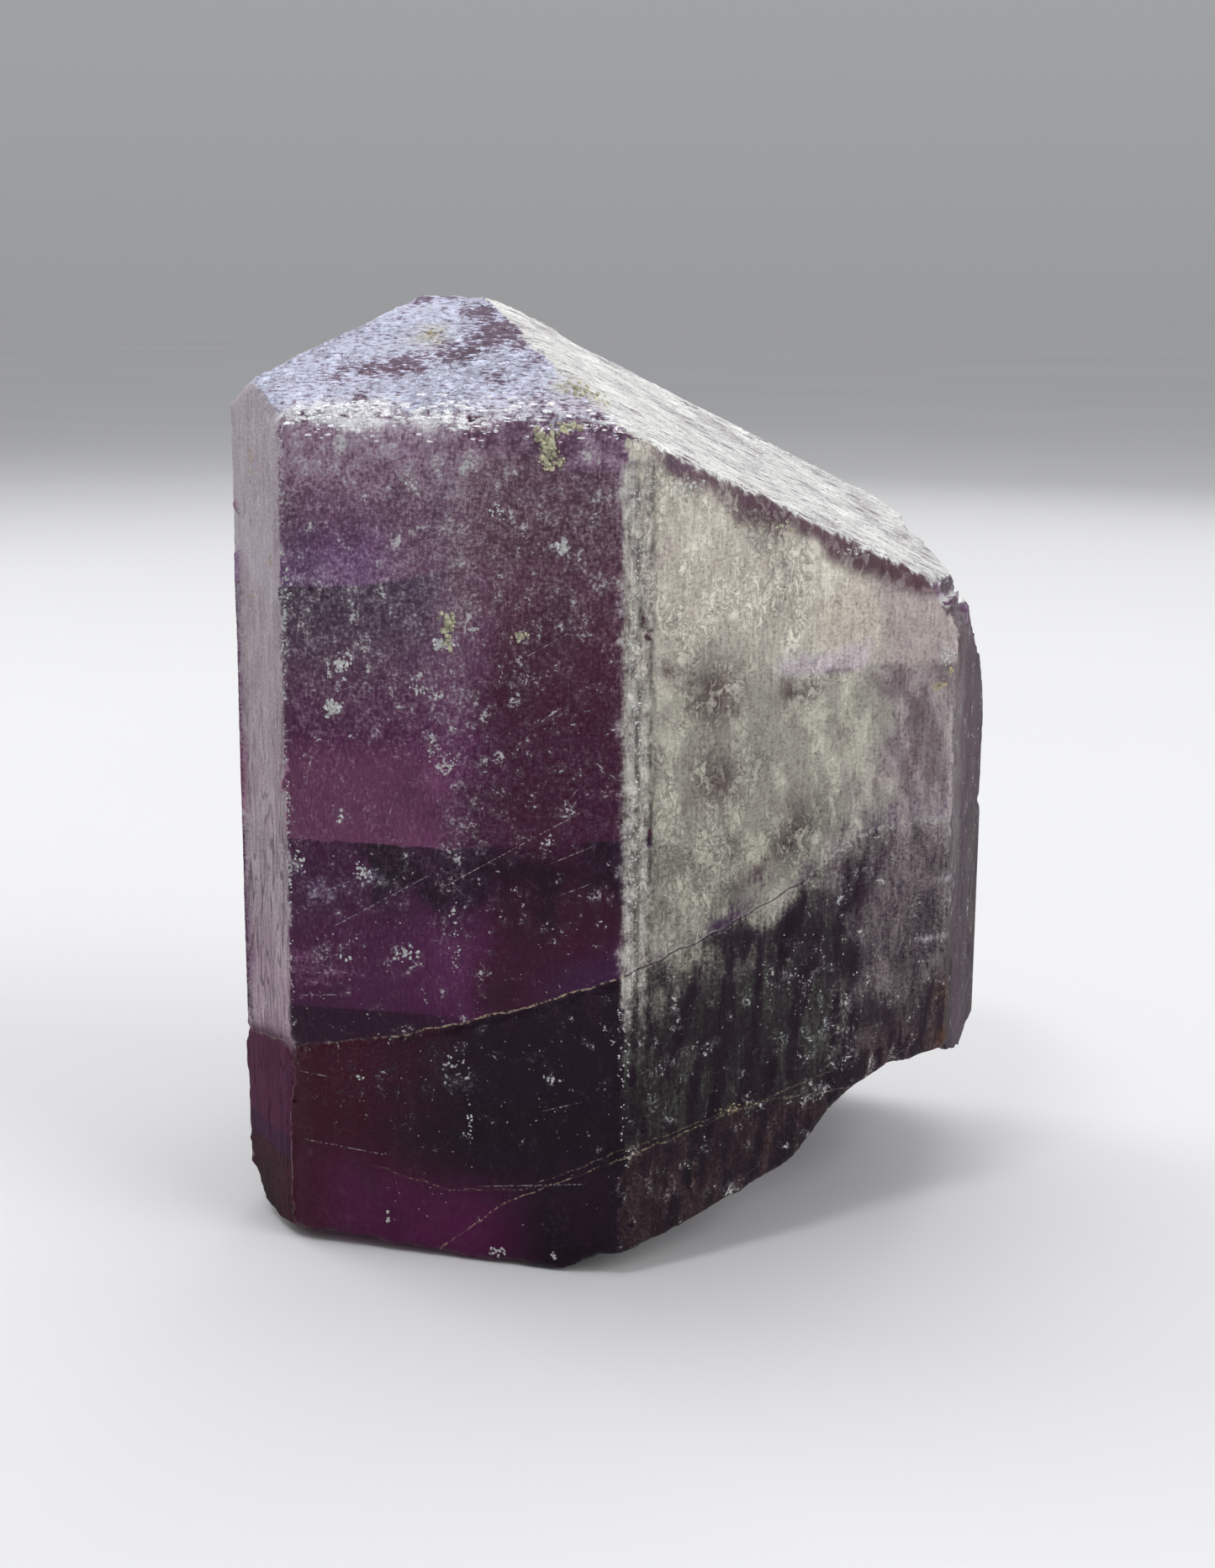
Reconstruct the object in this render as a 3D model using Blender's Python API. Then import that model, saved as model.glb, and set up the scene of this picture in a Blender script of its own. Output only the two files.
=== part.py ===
"""Purple scapolite crystal: a stout eight-sided prism under a low four-sided pyramid, on its broken base.

Lengths are metres and +Z runs up along the crystal's long axis. The front face looks along -Y and the right
face along +X. The origin is in the middle of the crystal's outline, on the surface that it stands on.
"""

import math
import random

import bmesh
import bpy
from mathutils import Matrix, Vector, noise

NAME = "scapolite_crystal"

# Outline of the prism, seen from above
WIDTH = 0.0348
DEPTH = 0.0300
FRONT_RIGHT_EDGE_X = 0.0041
FRONT_LEFT_EDGE_X = -0.0129
BACK_RIGHT_EDGE_Y = 0.0112
BACK_LEFT_EDGE_Y = 0.0100

# Height at which each pyramid face starts on the prism face below it, and the slope of all four
PYRAMID_SLOPE = math.radians(31.8)
SHOULDER_HEIGHT = {"front": 0.0408, "right": 0.0320, "back": 0.0330, "left": 0.0408}
STOCK_HEIGHT = 0.0600

# Narrow faces along three of the edges, and the fine rounding of the others
EDGE_STRIP_WIDTH = 0.00085
FOOT_STRIP_WIDTH = 0.0011
LEFT_STRIP_WIDTH = 0.0006
EDGE_ROUNDING = 0.00014

# Growth steps: flat terraces sunk a little into the faces, long in the direction of the face's striae
PRISM_STEP_DEPTH = (0.00009, 0.00028)
PRISM_STEP_LENGTH = (0.007, 0.026)
PRISM_STEP_WIDTH = (0.0009, 0.0042)
PYRAMID_STEP_DEPTH = (0.00010, 0.00028)
PYRAMID_STEP_LENGTH = (0.005, 0.018)
PYRAMID_STEP_WIDTH = (0.0006, 0.0026)
STEP_COLUMNS = 5
COLUMN_JITTER = 0.07
STEP_RAGGEDNESS = 0.10
MOST_RAGGED = 0.0011
CUT_CLEARANCE = 0.0005
PRISM_STEP_SEED = 21
PYRAMID_STEP_SEED = 22
LEDGE_SEED = 23

# Steps on each prism face: span across it from the point that names it, span of heights, number of steps
PRISM_STEPS = {
    "front": ((-0.0120, 0.0034), (0.008, 0.036), 7),
    "front_right": ((0.0016, 0.0172), (0.010, 0.034), 10),
    "right": ((-0.0010, 0.0106), (0.010, 0.028), 6),
    "back_right": ((0.0006, 0.0046), (0.012, 0.028), 3),
    "back": ((-0.0120, 0.0160), (0.006, 0.030), 10),
    "back_left": ((-0.0060, -0.0006), (0.008, 0.036), 4),
    "left": ((-0.0090, 0.0100), (0.008, 0.036), 8),
    "front_left": ((-0.0056, -0.0006), (0.010, 0.036), 3),
}

# Steps on each pyramid face, scattered about a place a little above its foot
PYRAMID_STEPS = {"front": 8, "right": 15, "back": 11, "left": 6}
PYRAMID_STEP_SPREAD = (0.011, 0.012)
PYRAMID_STEP_LIFT = 0.003

# The pyramid face whose edge each pyramid face's striae run beside, and how far a ledge has sunk the face
PYRAMID_STRIAE_BESIDE = {"front": "right", "right": "back", "back": "right", "left": "front"}
PYRAMID_FACE_SUNK = {"front": 0.0, "right": 0.0, "back": 0.0007, "left": 0.0}
PRISM_FACE_SUNK = {"left": 0.00035}

# The three large ledges: face, centre across and up it, width, length, depth
LEDGES = (
    ("left", 0.0, 0.0274, 0.0320, 0.0360, PRISM_FACE_SUNK["left"]),
    ("back_right", 0.0, 0.0074, 0.0300, 0.0240, 0.00085),
    ("back", 0.0090, 0.0174, 0.0060, 0.0250, 0.00045),
)
APEX_CAP_LENGTH = 0.0034
BACK_SLOPE_WIDTH = 0.0490

# Broken base. Its front rim rises and falls along the front faces, and from the rim the break falls away
# backwards, in a direction turned a little from +Y, until it meets the flat that the crystal stands on.
# The rim is given as places across that direction and heights above the flat.
BREAK_TURN = math.radians(15.4)
BREAK_FALL = 0.18
RIM = (
    (-0.0230, 0.0008),
    (-0.0172, 0.0005),
    (-0.0160, 0.0007),
    (-0.0089, 0.0006),
    (-0.0082, 0.0002),
    (-0.0030, 0.0002),
    (-0.0010, 0.0010),
    (0.0032, 0.0021),
    (0.0065, 0.0034),
    (0.0082, 0.0043),
    (0.0103, 0.0066),
    (0.0118, 0.0078),
    (0.0163, 0.0084),
    (0.0184, 0.0073),
    (0.0192, 0.0088),
    (0.0240, 0.0120),
)
LEFT_CHIP_START_X = -0.0136
LEFT_CHIP_CURVE = 9.0e4
LEFT_CHIP_FADE = (-0.004, 0.004)
LEFT_RIM = 0.0013
LEFT_RIM_SLOPE = 0.42
BACK_RIM = 0.0015
BACK_RIM_SLOPE = 0.38
BASE_GRID_PITCH = 0.00105
BASE_GRID_DEPTH = 0.004

# Broken upper right corner: a plane that bends where it nears the front
CORNER_BREAK_POINT = (0.0164, 0.0016, 0.0326)
CORNER_BREAK_NORMAL = (0.813, 0.337, 0.475)
CORNER_BREAK_BEND = 0.50
CORNER_BREAK_SIZE = 0.034
CORNER_GRID_CELLS = 42

# Relief of broken surfaces: broad humps, fine roughness and the ripples of a shell-like break
HUMP_SIZE = 0.0045
HUMP_HEIGHT = 0.00040
ROUGHNESS_SIZE = 0.0013
ROUGHNESS_HEIGHT = 0.00020
RIPPLE_SPACING = 0.0021
RIPPLE_HEIGHT = 0.00014
RIPPLE_CENTRE = (0.010, -0.020, 0.0)
FLOOR_DIP = 0.0009

# Dimples etched into the front right face: distance from the front right edge, height, half width,
# half length
PITS = (
    (0.0010, 0.0314, 0.00030, 0.00045),
    (0.0019, 0.0294, 0.00028, 0.00050),
    (0.0046, 0.0280, 0.00065, 0.00110),
    (0.0088, 0.0277, 0.00050, 0.00100),
    (0.0102, 0.0275, 0.00035, 0.00080),
    (0.0047, 0.0239, 0.00075, 0.00120),
    (0.0095, 0.0214, 0.00060, 0.00130),
    (0.0060, 0.0186, 0.00050, 0.00150),
    (0.0117, 0.0146, 0.00060, 0.00160),
)
PIT_DEPTH = 0.00042
PIT_CENTRE_OUT = 0.00006
PIT_LUMPINESS = 0.25
PIT_LUMP_PITCH = 1.9

# Chips out of the prism's edges: the two faces, height, radius
EDGE_CHIPS = (
    ("front_left", "left", 0.0389, 0.0007),
    ("front_left", "left", 0.0259, 0.0004),
    ("front_left", "left", 0.0106, 0.0006),
    ("right", "back_right", 0.0181, 0.0011),
    ("right", "back_right", 0.0114, 0.0006),
    ("front_right", "right", 0.0184, 0.0005),
    ("front_right", "right", 0.0120, 0.0007),
    ("back_right", "back", 0.0219, 0.0009),
    ("back_right", "back", 0.0149, 0.0006),
    ("back", "back_left", 0.0284, 0.0010),
    ("back", "back_left", 0.0124, 0.0007),
    ("back_left", "left", 0.0324, 0.0008),
    ("back_left", "left", 0.0199, 0.0012),
)
CHIP_CENTRE_OUT = 0.55
CHIP_STRETCH = 1.7
CHIP_LUMPINESS = 0.30
CHIP_LUMP_PITCH = 1.3
CHIP_LUMP_STRIDE = 5

# Grains of matrix left on the front face: x, height, half width, half height, how far they stand out
GRAINS = (
    (0.0001, 0.0398, 0.00062, 0.00036, 0.00050),
    (-0.0001, 0.0389, 0.00034, 0.00050, 0.00042),
    (0.0007, 0.0400, 0.00036, 0.00026, 0.00034),
    (-0.0046, 0.0315, 0.00034, 0.00058, 0.00036),
    (-0.0098, 0.0291, 0.00036, 0.00028, 0.00030),
    (-0.0103, 0.0270, 0.00032, 0.00026, 0.00030),
    (-0.0010, 0.0309, 0.00034, 0.00022, 0.00026),
    (0.0016, 0.0354, 0.00036, 0.00024, 0.00026),
)
GRAIN_SINK = 0.00007
GRAIN_TURN = 0.11
GRAIN_LUMPINESS = 0.35
GRAIN_LUMP_PITCH = 1.7
GRAIN_LUMP_STRIDE = 3

CRYSTAL_COLOUR = (0.20, 0.105, 0.20, 1.0)
CRYSTAL_ROUGHNESS = 0.28
UP = Vector((0.0, 0.0, 1.0))


def remove_start_objects():
    for item in list(bpy.data.objects):
        bpy.data.objects.remove(item, do_unlink=True)


def new_collection(name):
    group = bpy.data.collections.new(name)
    bpy.context.scene.collection.children.link(group)
    return group


def add_object(name, shape, group):
    """Turns a bmesh into an object of the collection, and frees it."""
    bmesh.ops.recalc_face_normals(shape, faces=shape.faces)
    mesh = bpy.data.meshes.new(name)
    shape.to_mesh(mesh)
    shape.free()
    made = bpy.data.objects.new(name, mesh)
    group.objects.link(made)
    return made


def add_cutter(name, shape, group):
    cutter = add_object(name, shape, group)
    cutter.hide_render = True
    cutter.display_type = "WIRE"
    return cutter


def crystal_material():
    material = bpy.data.materials.new("purple scapolite")
    material.use_nodes = True
    shader = material.node_tree.nodes["Principled BSDF"]
    shader.inputs["Base Color"].default_value = CRYSTAL_COLOUR
    shader.inputs["Roughness"].default_value = CRYSTAL_ROUGHNESS
    shader.inputs["Metallic"].default_value = 0.0
    return material


def side_normal(degrees):
    """Outward direction of a prism face: 0 is the front, 90 the right."""
    angle = math.radians(degrees)
    return Vector((math.sin(angle), -math.cos(angle), 0.0))


def prism_faces():
    """A point on each of the eight prism faces, with its outward direction."""
    half_width = WIDTH / 2
    half_depth = DEPTH / 2
    return {
        "front": (Vector((0.0, -half_depth, 0.0)), side_normal(0)),
        "front_right": (Vector((FRONT_RIGHT_EDGE_X, -half_depth, 0.0)), side_normal(45)),
        "right": (Vector((half_width, 0.0, 0.0)), side_normal(90)),
        "back_right": (Vector((half_width, BACK_RIGHT_EDGE_Y, 0.0)), side_normal(135)),
        "back": (Vector((0.0, half_depth, 0.0)), side_normal(180)),
        "back_left": (Vector((-half_width, BACK_LEFT_EDGE_Y, 0.0)), side_normal(225)),
        "left": (Vector((-half_width, 0.0, 0.0)), side_normal(270)),
        "front_left": (Vector((FRONT_LEFT_EDGE_X, -half_depth, 0.0)), side_normal(315)),
    }


def pyramid_faces():
    """A point on each of the four pyramid faces, with its outward direction."""
    sides = prism_faces()
    faces = {}
    for name, height in SHOULDER_HEIGHT.items():
        point, outward = sides[name]
        normal = outward * math.sin(PYRAMID_SLOPE) + UP * math.cos(PYRAMID_SLOPE)
        faces[name] = (point + UP * height, normal)
    return faces


def raise_wall(shape, offset):
    """Extrudes all faces of the shape, moves the copy by the offset and returns the copy's points."""
    grown = bmesh.ops.extrude_face_region(shape, geom=list(shape.faces))
    copied = [item for item in grown["geom"] if isinstance(item, bmesh.types.BMVert)]
    bmesh.ops.translate(shape, vec=offset, verts=copied)
    return copied


def lump(lumpiness, pitch, number):
    """A rough ball of radius 1. The pitch sets how fine its lumps are, and the number makes each ball differ."""
    shape = bmesh.new()
    bmesh.ops.create_icosphere(shape, subdivisions=2, radius=1.0)
    for vert in shape.verts:
        vert.co *= 1.0 + lumpiness * noise.noise(vert.co * pitch + UP * number)
    return shape


def slice_off(shape, point, normal):
    """Cuts away what lies outside a plane, and closes the cut with one flat face."""
    everything = list(shape.verts) + list(shape.edges) + list(shape.faces)
    cut = bmesh.ops.bisect_plane(
        shape, geom=everything, plane_co=point, plane_no=normal, dist=1.0e-7, clear_outer=True
    )
    rim = [item for item in cut["geom_cut"] if isinstance(item, bmesh.types.BMEdge)]
    if rim:
        bmesh.ops.contextual_create(shape, geom=rim)


def strip_along_edge(shape, corner, first, second, width):
    """Cuts a narrow face of the given width where two faces with these directions meet."""
    middle = (first + second).normalized()
    half_angle = first.angle(second) / 2
    sink = width / 2 * math.tan(half_angle)
    slice_off(shape, corner - middle * sink, middle)


def crystal_body():
    """The whole crystal before it was stepped, etched and broken."""
    shape = bmesh.new()
    bmesh.ops.create_cube(shape, size=1.0)
    bmesh.ops.scale(shape, vec=(WIDTH * 2, DEPTH * 2, STOCK_HEIGHT), verts=shape.verts)
    bmesh.ops.translate(shape, vec=UP * STOCK_HEIGHT / 2, verts=shape.verts)
    sides = prism_faces()
    tops = pyramid_faces()
    for point, normal in list(sides.values()) + list(tops.values()):
        slice_off(shape, point, normal)
    front = sides["front"][1]
    corner = sides["front_right"][0]
    strip_along_edge(shape, corner, front, sides["front_right"][1], EDGE_STRIP_WIDTH)
    corner = sides["front_left"][0]
    strip_along_edge(shape, corner, front, sides["front_left"][1], LEFT_STRIP_WIDTH)
    strip_along_edge(shape, tops["front"][0], front, tops["front"][1], FOOT_STRIP_WIDTH)
    base_edges = {edge for edge in shape.edges if all(v.co.z < EDGE_ROUNDING for v in edge.verts)}
    sharp = [edge for edge in shape.edges if edge not in base_edges]
    bmesh.ops.bevel(
        shape, geom=sharp, offset=EDGE_ROUNDING, offset_type="OFFSET", segments=1, profile=0.5,
        affect="EDGES", clamp_overlap=True, material=-1,
    )
    return shape


def face_frame(point, normal, along):
    """Matrix whose X runs across a face, Y along its striae and Z out of it."""
    across = along.cross(normal).normalized()
    frame = Matrix((across, along, normal)).transposed().to_4x4()
    frame.translation = point
    return frame


def terrace(frame, centre, size, depth, rng):
    """A cutter that sinks a terrace into a face: straight along its sides, ragged at both ends."""
    shape = bmesh.new()
    bmesh.ops.create_grid(shape, x_segments=STEP_COLUMNS, y_segments=1, size=0.5)
    ragged = min(size[1] * STEP_RAGGEDNESS, size[0], MOST_RAGGED)
    lean = rng.uniform(-1.0, 1.0) * min(size[0] / 2, MOST_RAGGED)
    for vert in shape.verts:
        across = vert.co.x + rng.uniform(-COLUMN_JITTER, COLUMN_JITTER)
        end = math.copysign(size[1] / 2, vert.co.y)
        vert.co.x = across * size[0]
        vert.co.y = end + rng.uniform(-ragged, ragged) + lean * across
    raise_wall(shape, UP * (2 * depth + CUT_CLEARANCE))
    place = frame @ Matrix.Translation((centre[0], centre[1], -depth))
    bmesh.ops.transform(shape, matrix=place, verts=shape.verts)
    return shape


def random_terraces(label, frame, across, along, count, limits, rng, group):
    """Scatters terraces over a face, between the given limits across and along it."""
    depths, lengths, widths = limits
    for number in range(count):
        centre = (rng.uniform(*across), rng.uniform(*along))
        size = (rng.uniform(*widths), rng.uniform(*lengths))
        depth = rng.uniform(*depths)
        shape = terrace(frame, centre, size, depth, rng)
        add_cutter(f"{label} step {number + 1}", shape, group)


def prism_terraces(group):
    """Upright growth steps on all eight prism faces."""
    rng = random.Random(PRISM_STEP_SEED)
    sides = prism_faces()
    limits = (PRISM_STEP_DEPTH, PRISM_STEP_LENGTH, PRISM_STEP_WIDTH)
    for name, (across, heights, count) in PRISM_STEPS.items():
        point, normal = sides[name]
        frame = face_frame(point - normal * PRISM_FACE_SUNK.get(name, 0.0), normal, UP)
        random_terraces(name, frame, across, heights, count, limits, rng, group)


def ridge_height():
    """Height of the short ridge where the front and back pyramid faces meet."""
    run = DEPTH * math.tan(PYRAMID_SLOPE)
    return (SHOULDER_HEIGHT["front"] + SHOULDER_HEIGHT["back"] + run) / 2


def large_ledges(group):
    """Ledges that run right across a face, and the lower part of the back slope below the apex cap."""
    rng = random.Random(LEDGE_SEED)
    sides = prism_faces()
    for name, across, height, width, length, depth in LEDGES:
        point, normal = sides[name]
        shape = terrace(face_frame(point, normal, UP), (across, height), (width, length), depth, rng)
        add_cutter(f"{name} ledge", shape, group)
    point, normal = pyramid_faces()["back"]
    frame = face_frame(point, normal, Vector((1.0, 0.0, 0.0)).cross(normal).normalized())
    slope_length = (ridge_height() - point.z) / math.sin(PYRAMID_SLOPE)
    size = (BACK_SLOPE_WIDTH, slope_length * 2)
    centre = (0.0, slope_length - APEX_CAP_LENGTH - size[1] / 2)
    add_cutter("back slope", terrace(frame, centre, size, PYRAMID_FACE_SUNK["back"], rng), group)


def pyramid_terraces(group):
    """Growth steps on the pyramid, which run down the slope beside its edges."""
    rng = random.Random(PYRAMID_STEP_SEED)
    tops = pyramid_faces()
    limits = (PYRAMID_STEP_DEPTH, PYRAMID_STEP_LENGTH, PYRAMID_STEP_WIDTH)
    spread_across, spread_along = PYRAMID_STEP_SPREAD
    for name, count in PYRAMID_STEPS.items():
        point, normal = tops[name]
        along = normal.cross(tops[PYRAMID_STRIAE_BESIDE[name]][1]).normalized()
        frame = face_frame(point - normal * PYRAMID_FACE_SUNK[name], normal, along)
        middle = frame.inverted() @ Vector((0.0, 0.0, point.z + PYRAMID_STEP_LIFT))
        across = (middle.x - spread_across, middle.x + spread_across)
        reach = (middle.y - spread_along, middle.y + spread_along)
        random_terraces(f"{name} top", frame, across, reach, count, limits, rng, group)


def relief(place):
    """Height of a broken surface over its mean, at a point in metres."""
    humps = noise.noise(place / HUMP_SIZE) * HUMP_HEIGHT
    roughness = noise.noise(place / ROUGHNESS_SIZE) * ROUGHNESS_HEIGHT
    distance = (place - Vector(RIPPLE_CENTRE)).length
    ripple = math.sin(distance / RIPPLE_SPACING * math.tau + humps / HUMP_HEIGHT) * RIPPLE_HEIGHT
    return humps + roughness + ripple


def ease(value, start, end):
    """Rises smoothly from 0 at start to 1 at end."""
    share = min(max((value - start) / (end - start), 0.0), 1.0)
    return share * share * (3.0 - 2.0 * share)


def rim_height(across):
    """Height of the front rim at a place across the direction that the break falls in."""
    for (start, low), (end, high) in zip(RIM, RIM[1:]):
        if across <= end:
            return low + (high - low) * (across - start) / (end - start)
    return RIM[-1][1]


def along_break(x, y):
    """A place seen along the direction that the break falls in: how far across it, and how far back."""
    across = x * math.cos(BREAK_TURN) + y * math.sin(BREAK_TURN)
    back = y * math.cos(BREAK_TURN) - x * math.sin(BREAK_TURN)
    return across, back


def base_height(x, y):
    """Height of the broken base over the surface that the crystal stands on."""
    across, back = along_break(x, y)
    corner_across, corner_back = along_break(FRONT_RIGHT_EDGE_X, -DEPTH / 2)
    rim_turn = math.radians(45) - BREAK_TURN if across > corner_across else -BREAK_TURN
    rim_back = corner_back + (across - corner_across) * math.tan(rim_turn)
    seen = rim_height(across) - BREAK_FALL * (back - rim_back)
    chip = LEFT_CHIP_CURVE * max(0.0, LEFT_CHIP_START_X - x) ** 3
    seen += chip * (1.0 - ease(y, *LEFT_CHIP_FADE))
    left = LEFT_RIM - LEFT_RIM_SLOPE * (x + WIDTH / 2)
    back_rim = BACK_RIM + BACK_RIM_SLOPE * (y - DEPTH / 2)
    height = max(seen, left, back_rim, -FLOOR_DIP)
    return height + relief(Vector((x, y, 0.0)))


def base_break():
    """A cutter whose upper side is the broken base."""
    shape = bmesh.new()
    margin = 2 * BASE_GRID_PITCH
    cells_x = round((WIDTH + 2 * margin) / BASE_GRID_PITCH)
    cells_y = round((DEPTH + 2 * margin) / BASE_GRID_PITCH)
    bmesh.ops.create_grid(shape, x_segments=cells_x, y_segments=cells_y, size=0.5)
    bmesh.ops.scale(shape, vec=(WIDTH + 2 * margin, DEPTH + 2 * margin, 1.0), verts=shape.verts)
    top = list(shape.verts)
    bottom = set(raise_wall(shape, -UP * BASE_GRID_DEPTH))
    for vert in top:
        vert.co.z = base_height(vert.co.x, vert.co.y)
    flat = [face for face in shape.faces if all(vert in bottom for vert in face.verts)]
    bmesh.ops.dissolve_faces(shape, faces=flat, use_verts=True)
    return shape


def corner_break():
    """A cutter that takes off the upper right corner along a rough, bent surface."""
    normal = Vector(CORNER_BREAK_NORMAL).normalized()
    back = UP.cross(normal).normalized()
    frame = face_frame(Vector(CORNER_BREAK_POINT), normal, normal.cross(back))
    shape = bmesh.new()
    bmesh.ops.create_grid(
        shape, x_segments=CORNER_GRID_CELLS, y_segments=CORNER_GRID_CELLS, size=CORNER_BREAK_SIZE / 2
    )
    bottom = list(shape.verts)
    raise_wall(shape, UP * CORNER_BREAK_SIZE / 2)
    for vert in bottom:
        bend = CORNER_BREAK_BEND * min(0.0, vert.co.x)
        vert.co.z = bend + relief(vert.co + Vector(CORNER_BREAK_POINT))
    bmesh.ops.transform(shape, matrix=frame, verts=shape.verts)
    return shape


def pit_cutters(group):
    """Etched dimples on the front right face."""
    point, normal = prism_faces()["front_right"]
    frame = face_frame(point, normal, UP)
    for number, (across, height, half_width, half_length) in enumerate(PITS):
        shape = lump(PIT_LUMPINESS, PIT_LUMP_PITCH, number)
        bmesh.ops.scale(shape, vec=(half_width, half_length, PIT_DEPTH), verts=shape.verts)
        place = frame @ Matrix.Translation((across, height, PIT_CENTRE_OUT))
        bmesh.ops.transform(shape, matrix=place, verts=shape.verts)
        add_cutter(f"pit {number + 1}", shape, group)


def corner_between(first, second):
    """The point at height 0 where two prism faces meet, and the way out of the crystal there."""
    sides = prism_faces()
    point_a, normal_a = sides[first]
    point_b, normal_b = sides[second]
    turn = Matrix((normal_a.xy, normal_b.xy))
    corner = turn.inverted() @ Vector((point_a.dot(normal_a), point_b.dot(normal_b)))
    return Vector((corner.x, corner.y, 0.0)), (normal_a + normal_b).normalized()


def edge_chips(group):
    """Small shell-shaped chips along the prism's edges."""
    for number, (first, second, height, radius) in enumerate(EDGE_CHIPS):
        corner, outward = corner_between(first, second)
        shape = lump(CHIP_LUMPINESS, CHIP_LUMP_PITCH, CHIP_LUMP_STRIDE * number)
        bmesh.ops.scale(shape, vec=(radius, radius, radius * CHIP_STRETCH), verts=shape.verts)
        place = corner + outward * radius * CHIP_CENTRE_OUT + UP * height
        bmesh.ops.translate(shape, vec=place, verts=shape.verts)
        add_cutter(f"edge chip {number + 1}", shape, group)


def matrix_grains(group):
    """Lumps of matrix, half sunk into the front face."""
    for number, (x, height, half_width, half_height, proud) in enumerate(GRAINS):
        shape = lump(GRAIN_LUMPINESS, GRAIN_LUMP_PITCH, GRAIN_LUMP_STRIDE * number)
        bmesh.ops.scale(shape, vec=(half_width, proud, half_height), verts=shape.verts)
        turn = Matrix.Rotation(GRAIN_TURN * (number + 1), 3, "Y")
        bmesh.ops.rotate(shape, matrix=turn, verts=shape.verts)
        bmesh.ops.translate(shape, vec=(x, GRAIN_SINK - DEPTH / 2, height), verts=shape.verts)
        add_cutter(f"grain {number + 1}", shape, group)


def cut_all(target, group):
    """Takes every shape of the collection out of the target."""
    change = target.modifiers.new(f"cut {group.name}", "BOOLEAN")
    change.operation = "DIFFERENCE"
    change.operand_type = "COLLECTION"
    change.collection = group
    change.solver = "EXACT"


def fuse_each(target, group):
    """Fuses the shapes of the collection to the target, one after another."""
    for shape in group.objects:
        change = target.modifiers.new(f"fuse {shape.name}", "BOOLEAN")
        change.operation = "UNION"
        change.object = shape
        change.solver = "EXACT"


def build():
    remove_start_objects()
    parts = new_collection("scapolite crystal")
    steps = new_collection("growth steps")
    breaks = new_collection("breaks and pits")
    grains = new_collection("matrix grains")
    crystal = add_object(NAME, crystal_body(), parts)
    crystal.data.materials.append(crystal_material())
    prism_terraces(steps)
    pyramid_terraces(steps)
    large_ledges(steps)
    add_cutter("base break", base_break(), breaks)
    add_cutter("corner break", corner_break(), breaks)
    pit_cutters(breaks)
    edge_chips(breaks)
    matrix_grains(grains)
    cut_all(crystal, steps)
    cut_all(crystal, breaks)
    fuse_each(crystal, grains)


build()
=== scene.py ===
"""Looks of a purple scapolite crystal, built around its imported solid.

The crystal gets a finely cut skin with growth lines, etched pits, cracks and frost, the small crumbs of crust that
sit on it, and a pale studio. Lengths in the settings are metres. Places in the tables below are millimetres in the
frame of the solid: +Z up the crystal, -Y out of its wide front face, and 0 on the surface that it stands on.
"""

import math
import random
from types import SimpleNamespace

import bmesh
import bpy
import numpy as np
from bpy.props import FloatProperty, FloatVectorProperty, IntProperty, PointerProperty
from mathutils import Matrix, Vector, noise
from mathutils.bvhtree import BVHTree


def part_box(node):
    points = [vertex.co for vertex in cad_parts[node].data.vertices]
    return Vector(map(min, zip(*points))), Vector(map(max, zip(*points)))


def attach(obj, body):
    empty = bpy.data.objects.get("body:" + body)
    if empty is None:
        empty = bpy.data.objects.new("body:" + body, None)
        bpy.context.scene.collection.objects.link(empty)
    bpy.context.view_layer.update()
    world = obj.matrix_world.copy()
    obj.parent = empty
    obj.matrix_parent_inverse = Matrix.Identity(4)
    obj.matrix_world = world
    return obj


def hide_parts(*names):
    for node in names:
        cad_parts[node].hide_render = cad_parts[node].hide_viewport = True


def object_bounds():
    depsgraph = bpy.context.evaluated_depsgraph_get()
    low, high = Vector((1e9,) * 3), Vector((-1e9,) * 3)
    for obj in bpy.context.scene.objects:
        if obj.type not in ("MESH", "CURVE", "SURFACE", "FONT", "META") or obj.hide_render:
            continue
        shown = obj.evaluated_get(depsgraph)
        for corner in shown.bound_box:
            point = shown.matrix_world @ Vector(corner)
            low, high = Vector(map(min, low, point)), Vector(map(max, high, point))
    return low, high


bl_info = {
    "name": "Scapolite crystal looks",
    "version": (1, 0, 0),
    "blender": (4, 5, 0),
    "location": "3D View > Sidebar > Scapolite",
    "description": "Frosted skin, crust and studio for a purple scapolite crystal",
    "category": "Object",
}

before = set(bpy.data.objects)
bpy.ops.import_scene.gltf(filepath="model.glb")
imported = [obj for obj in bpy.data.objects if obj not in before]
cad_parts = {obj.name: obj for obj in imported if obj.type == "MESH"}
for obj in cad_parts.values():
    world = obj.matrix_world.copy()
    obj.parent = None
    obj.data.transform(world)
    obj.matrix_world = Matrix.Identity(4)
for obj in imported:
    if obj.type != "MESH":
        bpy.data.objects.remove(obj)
CAD_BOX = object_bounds()

NODE = "scapolite_crystal"
BODY = "root"
MM = 0.001
UP = Vector((0.0, 0.0, 1.0))

# Prism faces: degrees round from the front towards the right, and distance from the axis
PRISM = {
    "front": (0, 15.0),
    "front_right": (45, 13.506),
    "right": (90, 17.4),
    "back_right": (135, 20.223),
    "back": (180, 15.0),
    "back_left": (225, 19.375),
    "left": (270, 17.05),
    "front_left": (315, 19.728),
}
FRONT_Y = -15.0
FRONT_RIGHT_EDGE_X = 4.1
FRONT_LEFT_EDGE_X = -12.9

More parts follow.
